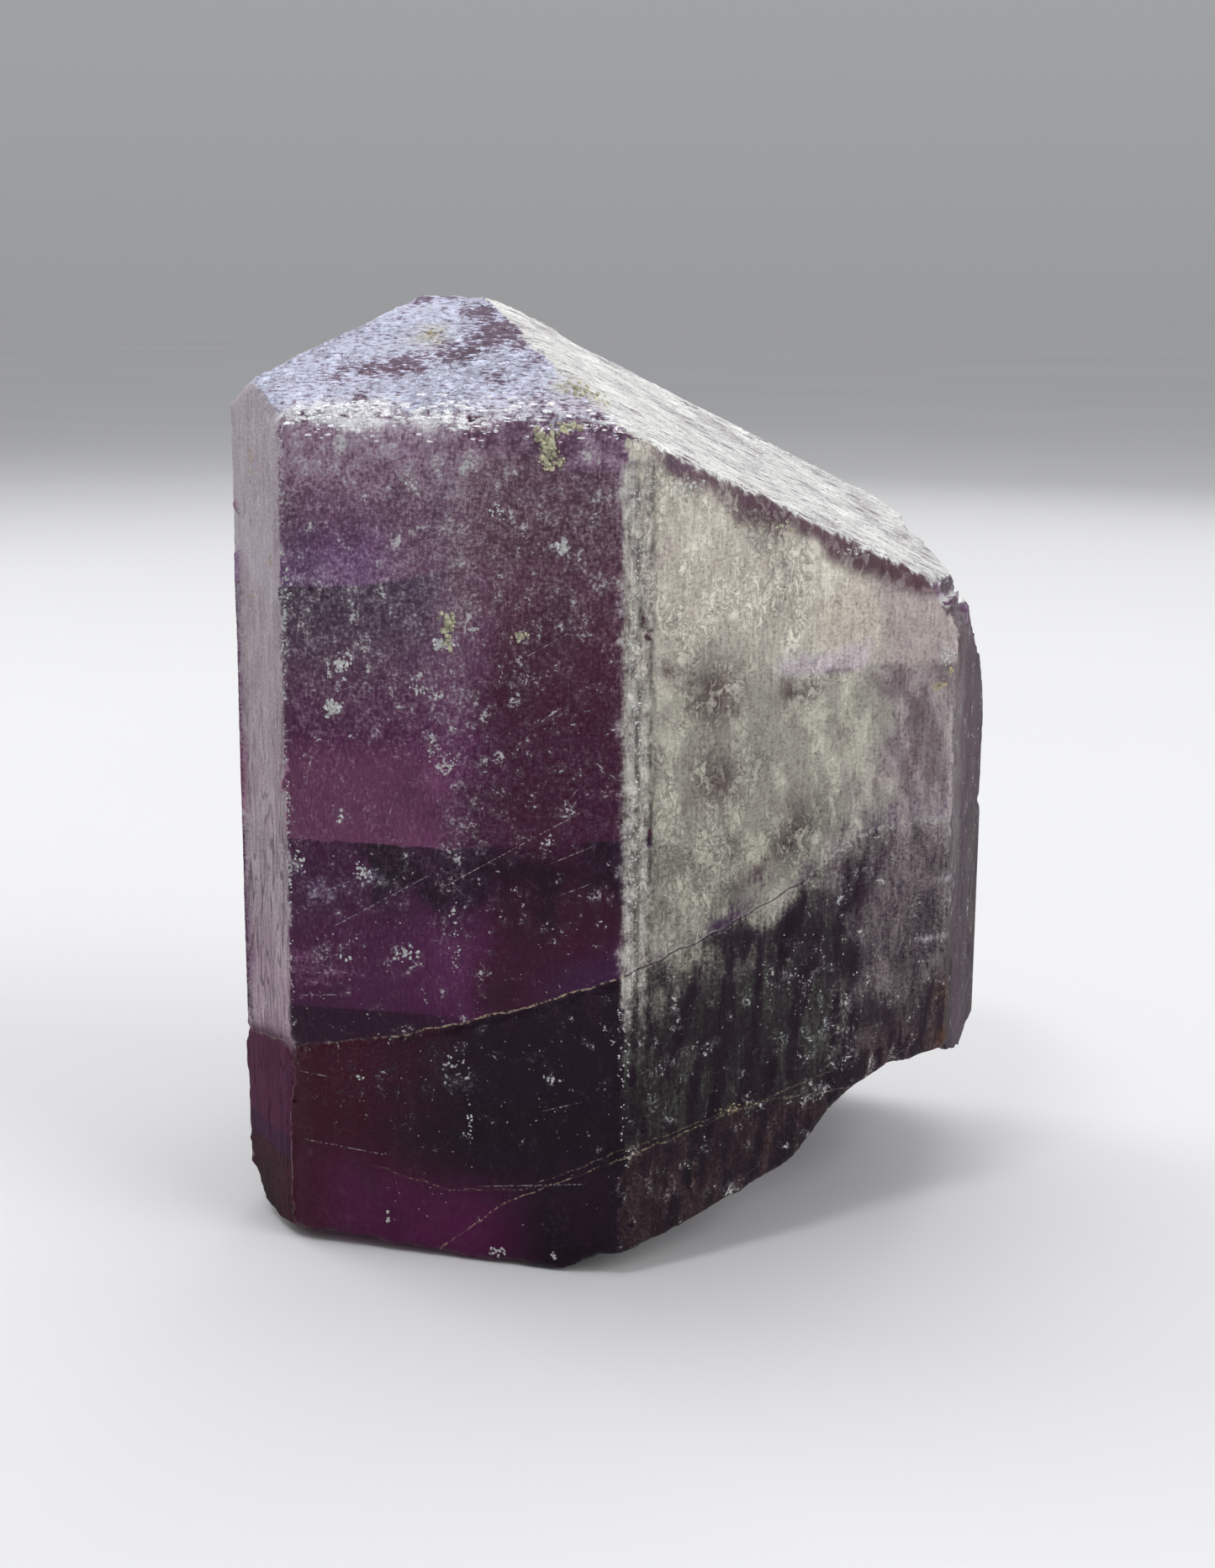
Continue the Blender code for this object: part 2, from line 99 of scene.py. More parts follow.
# Pyramid faces: the prism face below each, the height of its foot there, how far it is sunk, and the
# face beside whose edge its growth lines run
PYRAMID_SLOPE = math.radians(31.8)
PYRAMID = {
    "top_front": ("front", 40.8, 0.0, "front"),
    "top_right": ("right", 32.0, 0.0, "top_back"),
    "top_back": ("back", 33.0, 0.7, "top_right"),
    "top_left": ("left", 40.8, 0.0, "top_front"),
}
PRISM_REACH = {"left": 17.4}

# Relief of each face: hills (height, width, length), growth lines (height, width, length) and etched pits
# (depth, width, length, how many)
RELIEF = {
    "front": ((0.05, 2.6, 9.0), (0.035, 0.60, 7.0), (0.06, 0.7, 1.6, 0.30)),
    "front_left": ((0.05, 1.6, 12.0), (0.050, 0.55, 8.0), (0.05, 0.6, 2.5, 0.30)),
    "front_right": ((0.12, 1.7, 4.5), (0.060, 0.65, 5.0), (0.13, 0.8, 1.8, 0.38)),
    "right": ((0.08, 1.8, 6.0), (0.050, 0.60, 6.0), (0.08, 0.7, 1.8, 0.30)),
    "back_right": ((0.08, 1.8, 6.0), (0.050, 0.60, 6.0), (0.08, 0.7, 1.8, 0.30)),
    "back": ((0.08, 2.2, 7.0), (0.050, 0.60, 7.0), (0.08, 0.7, 1.8, 0.35)),
    "back_left": ((0.07, 1.8, 7.0), (0.045, 0.60, 7.0), (0.07, 0.7, 1.8, 0.30)),
    "left": ((0.07, 2.0, 8.0), (0.050, 0.60, 8.0), (0.06, 0.7, 2.0, 0.30)),
    "top_front": ((0.09, 1.2, 2.4), (0.070, 0.55, 1.6), (0.10, 0.6, 1.1, 0.35)),
    "top_right": ((0.07, 0.9, 5.0), (0.090, 0.55, 4.0), (0.08, 0.5, 1.6, 0.35)),
    "top_back": ((0.07, 0.9, 5.0), (0.080, 0.55, 4.0), (0.08, 0.5, 1.6, 0.35)),
    "top_left": ((0.08, 1.0, 3.0), (0.070, 0.60, 3.0), (0.09, 0.6, 1.2, 0.35)),
}

# Relief of the broken surfaces: height and size of their coarse and fine waves, and of the lumps of the corner
BROKEN_RELIEF = ((0.10, 1.1), (0.06, 0.55))
CORNER_LUMPS = (0.45, 1.5)

# Look of each face: how much frost, its colour, how much it glitters, how many white flecks, and how strongly
# the growth lines cut the frost
LOOKS = {
    "front": (0.29, (0.38, 0.34, 0.38), 0.15, 0.26, 0.45),
    "front_left": (0.97, (0.40, 0.34, 0.36), 0.05, 0.00, 0.7),
    "front_right": (0.98, (0.41, 0.405, 0.335), 0.15, 0.00, 0.7),
    "right": (0.92, (0.105, 0.088, 0.092), 0.00, 0.10, 1.2),
    "back_right": (0.74, (0.34, 0.31, 0.33), 0.15, 0.14, 0.8),
    "back": (0.30, (0.37, 0.34, 0.38), 0.15, 0.30, 0.5),
    "back_left": (0.74, (0.33, 0.30, 0.33), 0.10, 0.14, 0.8),
    "left": (0.38, (0.36, 0.32, 0.37), 0.15, 0.28, 0.5),
    "top_front": (0.97, (0.61, 0.64, 0.80), 0.80, 0.10, 2.5),
    "top_right": (1.00, (0.66, 0.67, 0.64), 1.00, 0.00, 3.8),
    "top_back": (0.88, (0.54, 0.55, 0.59), 0.60, 0.05, 1.8),
    "top_left": (0.90, (0.50, 0.51, 0.62), 0.60, 0.05, 1.8),
    "broken": (0.04, (0.34, 0.28, 0.34), 0.05, 0.04, 0.6),
}

# Patterns of each face: width and length of a growth line, width and length of an etched terrace, and how
# plainly their fine creases show
PATTERNS = {
    "front": (0.12, 0.45, 1.6, 5.0, 0.10),
    "front_left": (0.30, 4.0, 0.9, 8.0, 0.00),
    "front_right": (0.16, 1.3, 2.4, 5.0, 0.75),
    "right": (0.18, 1.6, 1.6, 4.4, 0.60),
    "back_right": (0.18, 1.5, 1.8, 4.4, 0.70),
    "back": (0.15, 1.1, 1.6, 5.0, 0.15),
    "back_left": (0.22, 2.2, 1.4, 5.0, 0.60),
    "left": (0.15, 1.2, 1.6, 5.0, 0.15),
    "top_front": (0.15, 0.50, 1.2, 1.8, 0.70),
    "top_right": (0.11, 1.7, 0.8, 4.0, 0.00),
    "top_back": (0.16, 1.0, 1.2, 3.0, 0.60),
    "top_left": (0.18, 0.7, 1.2, 2.4, 0.60),
    "broken": (0.60, 0.60, 2.0, 2.0, 0.00),
}

# Colours of the frost where they differ from the rest of a face
FILM = {
    "rosy": (0.40, 0.335, 0.33), "peach": (0.57, 0.52, 0.435), "lavender": (0.54, 0.48, 0.52),
    "mauve slabs": (0.255, 0.225, 0.222), "strip under the slope": (0.20, 0.15, 0.17),
    # Dark grey-green, low left and the colour below the long crack darken the frost below the long crack, as painted
    # shade of that crack.
    "dark grey-green": (0.070, 0.074, 0.063), "low right": (0.085, 0.062, 0.064), "lilac": (0.175, 0.145, 0.160),
    "brown foot": (0.070, 0.045, 0.046), "below the long crack": (0.17, 0.14, 0.16),
    "below the panel": (0.27, 0.17, 0.26), "violet glow": (0.34, 0.20, 0.45), "smoke": (0.27, 0.27, 0.40),
    "bands": (0.32, 0.21, 0.29), "low left": (0.075, 0.026, 0.060), "violet band": (0.036, 0.015, 0.052),
    "dark foot": (0.016, 0.004, 0.007), "level marks": (0.42, 0.39, 0.42), "edge strip": (0.56, 0.55, 0.49),
    # Slope's foot: near white, the pale crust brightened as a painted highlight.
    "open slope": (0.60, 0.58, 0.66), "slope's foot": (0.95, 0.95, 0.99), "haze": (0.37, 0.31, 0.39),
    "top mauve": (0.35, 0.25, 0.35), "yellow": (0.56, 0.55, 0.40), "broken corner": (0.36, 0.30, 0.42),
    "broken rim": (0.17, 0.10, 0.07), "rust": (0.17, 0.072, 0.042),
}

# Colours inside the crystal, of its cracks and of its reflections, beside those of the settings
INSIDE = {
    # Low behind lies below the long crack away from the front, dark as painted shade of that crack.
    "low behind": (0.075, 0.012, 0.060), "high behind": (0.420, 0.220, 0.400), "below the violet": (0.09, 0.065, 0.13),
    "top left": (0.520, 0.270, 0.430), "top right": (0.500, 0.270, 0.440), "browner": (0.46, 0.27, 0.20),
    "above the long crack": (0.12, 0.04, 0.16), "dim cloud": (0.02, 0.008, 0.016),
    "pale crack": (0.42, 0.40, 0.37), "dark crack": (0.03, 0.025, 0.025), "reflections": (0.40, 0.28, 0.40),
    "depth": (0.46, 0.22, 0.49),
}

# Index of refraction, light lost for each metre inside, roughness of the bare faces, share of light that passes
# through bare and through frosted places, and the angle from which an edge is shaded sharp
REFRACTION = 1.55
ABSORPTION = 120.0
POLISHED = 0.14
CLEARNESS = (0.86, 0.20)
SHARP_ANGLE = math.radians(32)

# Thick places in the flecks on the front face: x, height, radius, strength
FLECK_PATCHES = (
    (-9.8, 29.2, 0.9, 0.5), (-10.3, 27.0, 0.6, 0.5), (-4.6, 31.0, 0.8, 0.5), (-5.2, 28.2, 1.4, 0.5),
    (-1.0, 30.8, 0.5, 0.4), (0.95, 35.0, 0.6, 0.4), (-10.0, 21.8, 0.4, 0.5), (-9.0, 19.0, 0.9, 0.5),
    (-12.3, 19.2, 0.8, 0.5), (-6.7, 15.3, 0.7, 0.4), (-4.2, 10.5, 1.1, 0.2), (0.4, 9.7, 0.6, 0.4),
    (-12.3, 31.0, 1.6, 0.5), (-6.6, 37.6, 1.0, 0.3), (-2.0, 37.2, 0.9, 0.3), (-5.0, 25.0, 1.3, 0.3),
    (0.3, 21.3, 0.5, 0.3), (-2.3, 0.8, 0.5, 0.4), (-7.9, 1.9, 0.4, 0.3), (-3.6, 7.8, 0.6, 0.3),
)

# Violet glow and smoky patches on the front face: x, height, radius, strength
GLOW_PATCHES = ((-10.6, 35.1, 1.8, 0.9), (-8.4, 35.1, 1.4, 0.6))
SMOKE_PATCHES = ((-11.0, 18.0, 1.5, 0.9), (-12.0, 19.3, 0.9, 0.7), (-8.4, 18.6, 1.2, 0.6))

# Places on the front slope where the frost is open, and where it is yellow: x, y, radius, strength
OPEN_SPOTS = (
    (-10.6, -12.2, 0.7, 0.9), (-9.3, -12.1, 0.6, 0.9), (-8.1, -11.6, 0.7, 1.0), (-7.0, -11.4, 0.6, 1.0),
    (-6.0, -10.7, 0.7, 1.0), (-4.9, -10.9, 0.6, 0.9), (-4.5, -9.5, 0.9, 1.0), (-4.3, -8.0, 0.9, 1.0),
    (-3.3, -9.1, 0.8, 0.9), (-2.5, -9.8, 0.6, 0.8), (-8.7, -6.5, 0.6, 0.7), (-7.0, -6.3, 0.5, 0.7),
    (-5.6, -7.4, 0.6, 0.8), (-9.2, -13.9, 0.4, 0.7), (-1.6, -11.0, 0.6, 0.6), (-3.0, -12.3, 0.7, 0.5),
)
YELLOW_SPOTS = ((-7.2, -9.6, 0.9, 0.8), (0.6, -12.6, 1.0, 0.6))

# Etched dark places on the front right face: distance from the front right edge, height, radius, strength
ETCHED_PATCHES = (
    (4.6, 27.9, 1.5, 0.9), (4.7, 23.9, 1.3, 0.9), (8.8, 27.7, 0.8, 0.9), (10.0, 27.8, 0.5, 0.7),
    (9.5, 21.3, 1.1, 0.8), (8.6, 20.2, 0.9, 0.7), (1.5, 25.2, 0.6, 0.6), (5.7, 20.5, 0.8, 0.4),
    (1.0, 31.3, 0.28, 1.0), (2.0, 29.3, 0.35, 1.0), (6.0, 18.4, 0.8, 0.5), (11.9, 25.4, 0.7, 0.5),
)

# Heights of the short level marks at the right end of the front right face, and the rust stains beside them on
# the right face: y, height, radius, strength
LEVEL_MARKS = (23.9, 20.7, 17.5, 16.3, 14.6)
RUST_STAINS = ((-1.0, 8.6, 1.3, 0.9), (-1.4, 11.5, 0.9, 0.7))

# Fine straight scratches on the front face: from x and height, to x and height. Then where a scratch ends and
# where it is full across its line, and how long its faint ends are
SCRATCHES = (
    (-10.7, 16.2, -5.1, 19.5), (-5.2, 18.5, 2.3, 23.0), (-1.0, 29.7, 2.2, 31.6), (0.2, 20.1, 2.7, 21.3),
    (-12.4, 13.9, -9.5, 14.1), (-12.6, 5.4, -7.6, 5.0), (-12.2, 17.4, -7.6, 19.6), (-12.6, 12.7, -9.8, 13.0),
    (-3.4, 3.9, 2.3, 4.65), (-8.0, 20.6, -6.9, 23.8), (-0.2, 8.0, 2.2, 8.8), (0.6, 18.6, 2.6, 19.5),
    (-12.7, 8.9, -10.6, 8.7),
)
SCRATCH_WIDTHS = (0.034, 0.006)
SCRATCH_END = 0.6

# Cracks seen on the front faces, as places along x and heights. Then how far they dip for each millimetre
# inwards, and how much their lines waver
LONG_CRACK = (
    (-17.4, 9.3), (-12.84, 10.17), (-9.1, 10.78), (-4.79, 11.81), (-0.17, 13.35), (3.71, 14.92),
    (8.17, 16.83), (11.2, 18.58), (12.64, 19.93), (13.83, 20.51), (15.84, 20.79), (17.45, 20.34),
)
LOW_CRACK = ((-17.4, 5.6), (-8.77, 4.45), (-4.87, 3.59), (-1.02, 4.02), (3.77, 6.46), (9.33, 7.7), (17.4, 7.3))
FOOT_CRACK = ((-17.4, -9.0), (-4.24, 1.27), (-1.87, 3.28), (3.77, 6.04), (17.4, 10.0))
PANEL_CRACK = ((-17.4, 20.3), (-12.8, 20.54), (-4.71, 20.56), (-2.22, 20.82), (17.4, 23.0))
VIOLET_EDGE = ((-17.4, 32.3), (-12.93, 32.61), (-8.72, 32.81), (-5.82, 33.38), (17.4, 37.0))
LENS_EDGE = ((-17.4, 12.2), (-12.79, 12.23), (-7.78, 12.34), (-4.37, 12.36), (17.4, 12.4))
CRACK_DIP = 0.10
CRACK_WAVER = 0.12

# How far a step may be from its face, how much further half way up, the share of a step's depth that the skin
# keeps, and how often a step's wall is smoothed
STEP_REACH = 0.45
DEEP_STEP_REACH = 0.55
STEP_SHARE = 0.12
WALL_SMOOTHINGS = 8

# How many bright scales lie along each millimetre of the foot of the front slope, from the left
FOOT_SCALES = (30, 42, 26, 44, 22, 14, 20, 34, 24, 16, 12, 14, 12, 10, 14, 12)

# Crusts of crumbs: face and kind, and for each patch its middle (x, y, z), half width and half length, how many
# crumbs, and the size of the largest
CRUSTS = (
    ("front", "matrix", [
        (0.30, -15.0, 39.25, 0.26, 0.75, 34, 0.32), (-0.1, -15.0, 39.8, 0.30, 0.25, 18, 0.26),
        (1.2, -15.0, 40.25, 0.60, 0.18, 24, 0.26), (0.75, -15.0, 38.7, 0.26, 0.16, 12, 0.22),
        (0.35, -15.0, 39.5, 0.18, 0.45, 8, 0.44), (0.4, -15.0, 39.3, 0.40, 0.85, 30, 0.14),
    ]),
    ("front", "white", [
        (-9.8, -15.0, 29.1, 0.28, 0.50, 26, 0.20), (-10.3, -15.0, 27.0, 0.30, 0.38, 22, 0.23),
        (-9.5, -15.0, 29.6, 0.20, 0.16, 8, 0.15), (-10.5, -15.0, 28.6, 0.16, 0.14, 6, 0.13),
    ]),
    ("front", "matrix", [(-4.55, -15.0, 31.1, 0.28, 0.65, 34, 0.24)]),
    ("front", "white", [
        (-4.7, -15.0, 30.25, 0.55, 0.18, 26, 0.19), (-3.4, -15.0, 31.0, 0.30, 0.12, 8, 0.13),
        (-5.9, -15.0, 28.1, 0.55, 0.20, 18, 0.13), (-5.0, -15.0, 27.8, 0.45, 0.15, 14, 0.13),
    ]),
    ("front", "matrix", [(-1.0, -15.0, 30.8, 0.34, 0.22, 20, 0.20)]),
    ("front", "white", [
        (0.95, -15.0, 35.0, 0.32, 0.22, 18, 0.22), (-10.0, -15.0, 21.8, 0.20, 0.30, 10, 0.15),
        (-9.0, -15.0, 19.1, 0.38, 0.42, 26, 0.14), (-12.3, -15.0, 19.3, 0.40, 0.50, 22, 0.14),
        (-6.8, -15.0, 15.3, 0.45, 0.35, 22, 0.15), (-9.8, -15.0, 14.8, 0.35, 0.12, 8, 0.12),
        (-4.1, -15.0, 10.4, 0.45, 0.80, 14, 0.12), (0.5, -15.0, 9.7, 0.30, 0.12, 8, 0.13),
        (-6.2, -15.0, 37.6, 0.45, 0.35, 14, 0.12), (-2.0, -15.0, 36.6, 0.40, 0.45, 14, 0.12),
        (-7.9, -15.0, 1.8, 0.12, 0.30, 8, 0.12), (-2.4, -15.0, 0.7, 0.40, 0.22, 18, 0.14),
        (0.6, -15.0, 0.8, 0.22, 0.12, 7, 0.13), (-5.4, -15.0, 25.4, 0.20, 0.70, 16, 0.11),
        (-4.3, -15.0, 24.6, 0.16, 0.50, 10, 0.11), (-4.2, -15.0, 15.4, 0.30, 0.90, 14, 0.11),
        (-4.3, -15.0, 17.6, 0.35, 0.60, 12, 0.11), (0.3, -15.0, 21.3, 0.25, 0.30, 10, 0.11),
        (-3.6, -15.0, 7.3, 0.22, 1.20, 14, 0.11), (-9.2, -15.0, 9.0, 0.25, 0.45, 10, 0.10),
        (-12.75, -15.0, 25.0, 0.13, 7.0, 120, 0.10), (-12.7, -15.0, 15.0, 0.10, 4.0, 40, 0.10),
        (-12.6, -15.0, 32.6, 0.30, 0.8, 24, 0.13), (-12.7, -15.0, 36.5, 0.12, 3.0, 40, 0.09),
    ]),
    ("front_right", "white", [
        (4.45, -14.65, 32.5, 0.22, 5.0, 110, 0.10), (4.45, -14.65, 23.5, 0.24, 5.0, 120, 0.11),
        (4.4, -14.7, 16.8, 0.22, 2.5, 50, 0.11),
    ]),
    ("front", "white", [(3.95, -15.0, 10.0, 0.28, 4.5, 60, 0.09)]),
    ("front_left", "golden", [
        (-15.2, -12.7, 38.2, 0.24, 0.9, 20, 0.14), (-13.7, -14.2, 33.8, 0.14, 0.45, 12, 0.13),
        (-15.4, -12.5, 31.7, 0.35, 0.14, 10, 0.12), (-16.6, -11.3, 31.2, 0.14, 0.18, 6, 0.12),
    ]),
    ("front", "scale", [
        (-3.4, -15.0, 40.2, 0.7, 0.35, 26, 0.22), (-6.0, -15.0, 40.5, 6.2, 0.25, 70, 0.18),
        (-5.0, -15.0, 39.9, 6.4, 0.40, 30, 0.10),
    ]),
    ("top_front", "scale", [(x, -14.6, 41.05, 0.8, 0.42, count, 0.24) for x, count in enumerate(FOOT_SCALES, -12)]),
    ("top_front", "matrix", [(1.2, -12.8, 42.1, 0.9, 0.9, 50, 0.18)]),
    ("front_right", "white", [(6.2, -12.9, 37.6, 0.8, 0.35, 30, 0.12), (13.3, -5.8, 34.3, 1.4, 0.22, 34, 0.12)]),
    ("front_right", "matrix", [(9.6, -9.5, 35.6, 1.5, 0.22, 30, 0.11)]),
    ("front_right", "white", [(16.9, -2.2, 28.9, 0.45, 0.40, 30, 0.15)]),
    ("front_right", "golden", [(16.6, -2.5, 27.4, 0.55, 0.16, 26, 0.12), (17.1, -2.0, 28.1, 0.12, 0.40, 14, 0.12)]),
    ("front_right", "white", [(11.6, -7.5, 13.5, 3.2, 2.4, 70, 0.07)]),
    ("front_right", "golden", [(8.6, -10.5, 7.6, 1.3, 0.18, 24, 0.10)]),
    ("top_front", "golden", [(-7.0, -9.6, 44.2, 0.5, 0.5, 22, 0.12)]),
    ("front", "white", [(-5.0, -15.0, 20.0, 7.0, 14.0, 150, 0.055), (-2.0, -15.0, 8.0, 6.0, 6.5, 70, 0.055)]),
    ("back", "white", [(-6.0, 15.0, 22.0, 6.0, 13.0, 90, 0.09)]),
    ("back_right", "white", [(13.8, 14.8, 18.0, 4.0, 10.0, 60, 0.09)]),
    ("back_left", "white", [(-13.2, 14.2, 24.0, 4.0, 10.0, 50, 0.09)]),
    ("left", "white", [(-17.1, 2.0, 26.0, 6.0, 10.0, 70, 0.09)]),
    ("right", "white", [(17.4, 6.0, 20.0, 3.5, 8.0, 50, 0.09)]),
)

# Kinds of crumb: colour, how wide, long and thick it is for its size, and its darkest and brightest shade
CRUMBS = {
    "white": ((0.52, 0.52, 0.52), (1.05, 1.05, 0.55), (0.75, 1.15)),
    # Matrix crumbs range widely in shade: random tone, and painted highlights and recess shade among the crumbs.
    "matrix": ((0.44, 0.42, 0.29), (1.0, 1.0, 0.95), (0.55, 1.40)),
    "golden": ((0.40, 0.33, 0.19), (1.05, 1.05, 0.55), (0.75, 1.15)),
    # Scale crumbs: near white, the pale crust brightened as a painted highlight of glossy scales.
    "scale": ((0.92, 0.92, 0.96), (1.9, 0.62, 0.30), (0.75, 1.15)),
}

# The half size of a patch from which on its crumbs are spread evenly
WIDE_PATCH = 2.0

# Soft lamps: name, degrees round to the right, degrees up, distance, width and height in metres, and watts
LAMPS = (
    ("right softbox", 75, 30, 0.44, (0.30, 0.32), 1.1), ("top softbox", 200, 68, 0.42, (0.40, 0.30), 0.8),
    ("back softbox", 172, 24, 0.45, (0.40, 0.16), 0.30), ("left softbox", -106, 28, 0.46, (0.20, 0.30), 0.7),
    ("high front softbox", -14, 60, 0.45, (0.10, 0.06), 0.45),
)
LAMP_AIM = Vector((0.0, 0.0, 0.023))

# The camera as fitted to the photo: its place, and degrees round to the right, down and of roll
CAMERA_PLACE = Vector((30.37, -113.61, 45.58))
CAMERA_TURN = (15.43, 11.82, -0.336)
SKY_COLOUR = (0.97, 0.98, 1.0)


def colour_setting(name, description, default):
    return FloatVectorProperty(name=name, description=description, default=default, subtype="COLOR", size=3)


class SkinSettings(bpy.types.PropertyGroup):
    cell: FloatProperty(
        name="Face size", description="Side of the skin's small faces", default=0.27 * MM, unit="LENGTH"
    )
    relief: FloatProperty(
        name="Relief", description="Strength of growth lines, hills and pits", default=1.0, subtype="FACTOR"
    )
    roughness: FloatProperty(
        name="Frost roughness", description="Roughness of the frosted places", default=0.50, subtype="FACTOR"
    )
    # Below the long crack the dark and maroon colours are painted shade of that crack; the dark colour also colours the
    # dark band under the panel's crack and the lens.
    dark_colour: colour_setting("Dark colour", "Colour below the long crack, towards the right", (0.004, 0.001, 0.0015))
    maroon_colour: colour_setting("Maroon colour", "Colour below the long crack, towards the left", (0.17, 0.002, 0.02))
    glow_colour: colour_setting("Glow colour", "Colour near the broken base", (0.27, 0.015, 0.14))
    low_colour: colour_setting("Low colour", "Colour between the long crack and the panel's crack", (0.26, 0.04, 0.19))
    body_colour: colour_setting("Body colour", "Colour of the upper part", (0.48, 0.25, 0.38))
    panel_colour: colour_setting("Panel colour", "Mauve colour above the panel's crack", (0.62, 0.19, 0.42))
    violet_colour: colour_setting("Violet colour", "Colour of the upper left part", (0.60, 0.32, 0.72))
    fleck_colour: colour_setting("Fleck colour", "Colour of the white crust on the faces", (0.56, 0.57, 0.56))
    crack_colour: colour_setting("Crack colour", "Colour of the fine stained lines of the cracks", (0.42, 0.35, 0.23))


class CrustSettings(bpy.types.PropertyGroup):
    grain_size: FloatProperty(
        name="Grain size", description="Size of the crust's grains", default=0.8, subtype="FACTOR"
    )
    seed: IntProperty(name="Seed", description="Start of the random places of the grains", default=7)


class StudioSettings(bpy.types.PropertyGroup):
    floor_radius: FloatProperty(
        name="Floor radius", description="Radius of the round floor", default=6.0, unit="LENGTH"
    )
    horizon_light: FloatProperty(
        name="Horizon light", description="Brightness of the surround at the horizon", default=0.327, subtype="FACTOR"
    )
    zenith_light: FloatProperty(
        name="Light from above", description="Brightness of the surround straight above", default=0.62, subtype="FACTOR"
    )
    floor_colour: colour_setting("Floor colour", "Colour of the floor", (0.60, 0.60, 0.61))
    lens: FloatProperty(
        name="Lens", description="Focal length in millimetres on a 36 mm long side", default=52.48
    )


def mm_points(mesh):
    """The mesh's points in millimetres, one row each."""
    places = np.empty(len(mesh.vertices) * 3, np.float32)
    mesh.vertices.foreach_get("co", places)
    return places.reshape(-1, 3).astype(float) / MM


def set_points(mesh, places):
    """Moves the mesh's points to these places in millimetres."""
    mesh.vertices.foreach_set("co", (places * MM).astype(np.float32).ravel())
    mesh.update()


def vertex_normals(mesh):
    """The way out at each point, one row each."""
    normals = np.empty(len(mesh.vertices) * 3, np.float32)
    mesh.vertex_normals.foreach_get("vector", normals)
    return normals.reshape(-1, 3).astype(float)


def add_values(mesh, name, kind, values):
    """Stores one value for each point of the mesh under a name that materials read."""
    field = {"FLOAT_VECTOR": "vector", "FLOAT_COLOR": "color"}[kind]
    stored = mesh.attributes.new(name, kind, "POINT")
    stored.data.foreach_set(field, np.asarray(values, np.float32).ravel())


def with_alpha(colours):
    return np.concatenate([colours, np.ones((len(colours), 1))], 1)


def smooth_step(value, low, high):
    """Rises smoothly from 0 to 1 as the value goes from low to high."""
    share = np.clip((value - low) / (high - low), 0.0, 1.0)
    return share * share * (3.0 - 2.0 * share)


def soft_line(away, width):
    """1 at a distance of 0, and falling softly to nothing within about two widths."""
    return np.exp(-((away / width) ** 2))


def noise_at(places, seed):
    """Noise from -1 to 1 at rows of three numbers."""
    return np.array([noise.noise(Vector(row)) for row in (places + seed)])


def layered_noise(places, seed, octaves=3):
    """Noise from about -1 to 1 with finer and fainter layers."""
    return np.array([noise.fractal(Vector(row), 1.0, 2.0, octaves) for row in (places + seed)])


def bump_at(first, second, spots):
    """Sum of soft round patches, each given by its middle, radius and strength."""
    total = np.zeros(len(first))
    for middle, height, radius, strength in spots:
        away = (first - middle) ** 2 + (second - height) ** 2
        total += strength * np.exp(-away / radius**2)
    return total


def blend(values, share, target):
    """Moves each row of the values towards the target by its share."""
    share = share[:, None] if values.ndim > 1 else share
    return values * (1.0 - share) + share * np.array(target)


def side_normal(degrees):
    """The way out of a prism face that is turned this far round to the right."""
    angle = math.radians(degrees)
    return Vector((math.sin(angle), -math.cos(angle), 0.0))


def face_planes():
    """For each face its way out, its distance from the origin along it, and the way that its growth lines run."""
    planes = {name: (side_normal(degrees), distance, UP) for name, (degrees, distance) in PRISM.items()}
    normals = {name: plane[0] for name, plane in planes.items()}
    for name, (below, foot, sunk, beside) in PYRAMID.items():
        normals[name] = side_normal(PRISM[below][0]) * math.sin(PYRAMID_SLOPE) + UP * math.cos(PYRAMID_SLOPE)
    for name, (below, foot, sunk, beside) in PYRAMID.items():
        corner = side_normal(PRISM[below][0]) * PRISM_REACH.get(below, PRISM[below][1]) + UP * foot
        along = normals[name].cross(normals[beside]).normalized()
        planes[name] = (normals[name], corner.dot(normals[name]) - sunk, along)
    return planes


def plane_offs(places):
    """Distance of each place from each crystal face, one row for each face."""
    planes = face_planes().values()
    return np.array([np.abs(places @ np.array(normal) - distance) for normal, distance, _ in planes])


def local_places(places, plane):
    """Rows of (across, along, out) for places on a face."""
    normal, distance, along = plane
    across = along.cross(normal).normalized()
    return np.stack([places @ np.array(across), places @ np.array(along), places @ np.array(normal) - distance], 1)


def across_side(x):
    """Distance from the front right edge on the front right face."""
    return (x - FRONT_RIGHT_EDGE_X) * math.sqrt(2.0)


def crack_height(points, places):
    """Height of a crack's surface at each place. It dips a little into the crystal."""
    x, y = places[:, 0], places[:, 1]
    right, left = x - FRONT_RIGHT_EDGE_X, FRONT_LEFT_EDGE_X - x
    front = FRONT_Y + np.maximum.reduce([np.zeros(len(x)), right, left])
    steps = np.array(points)
    return np.interp(x, steps[:, 0], steps[:, 1]) - CRACK_DIP * (y - front)


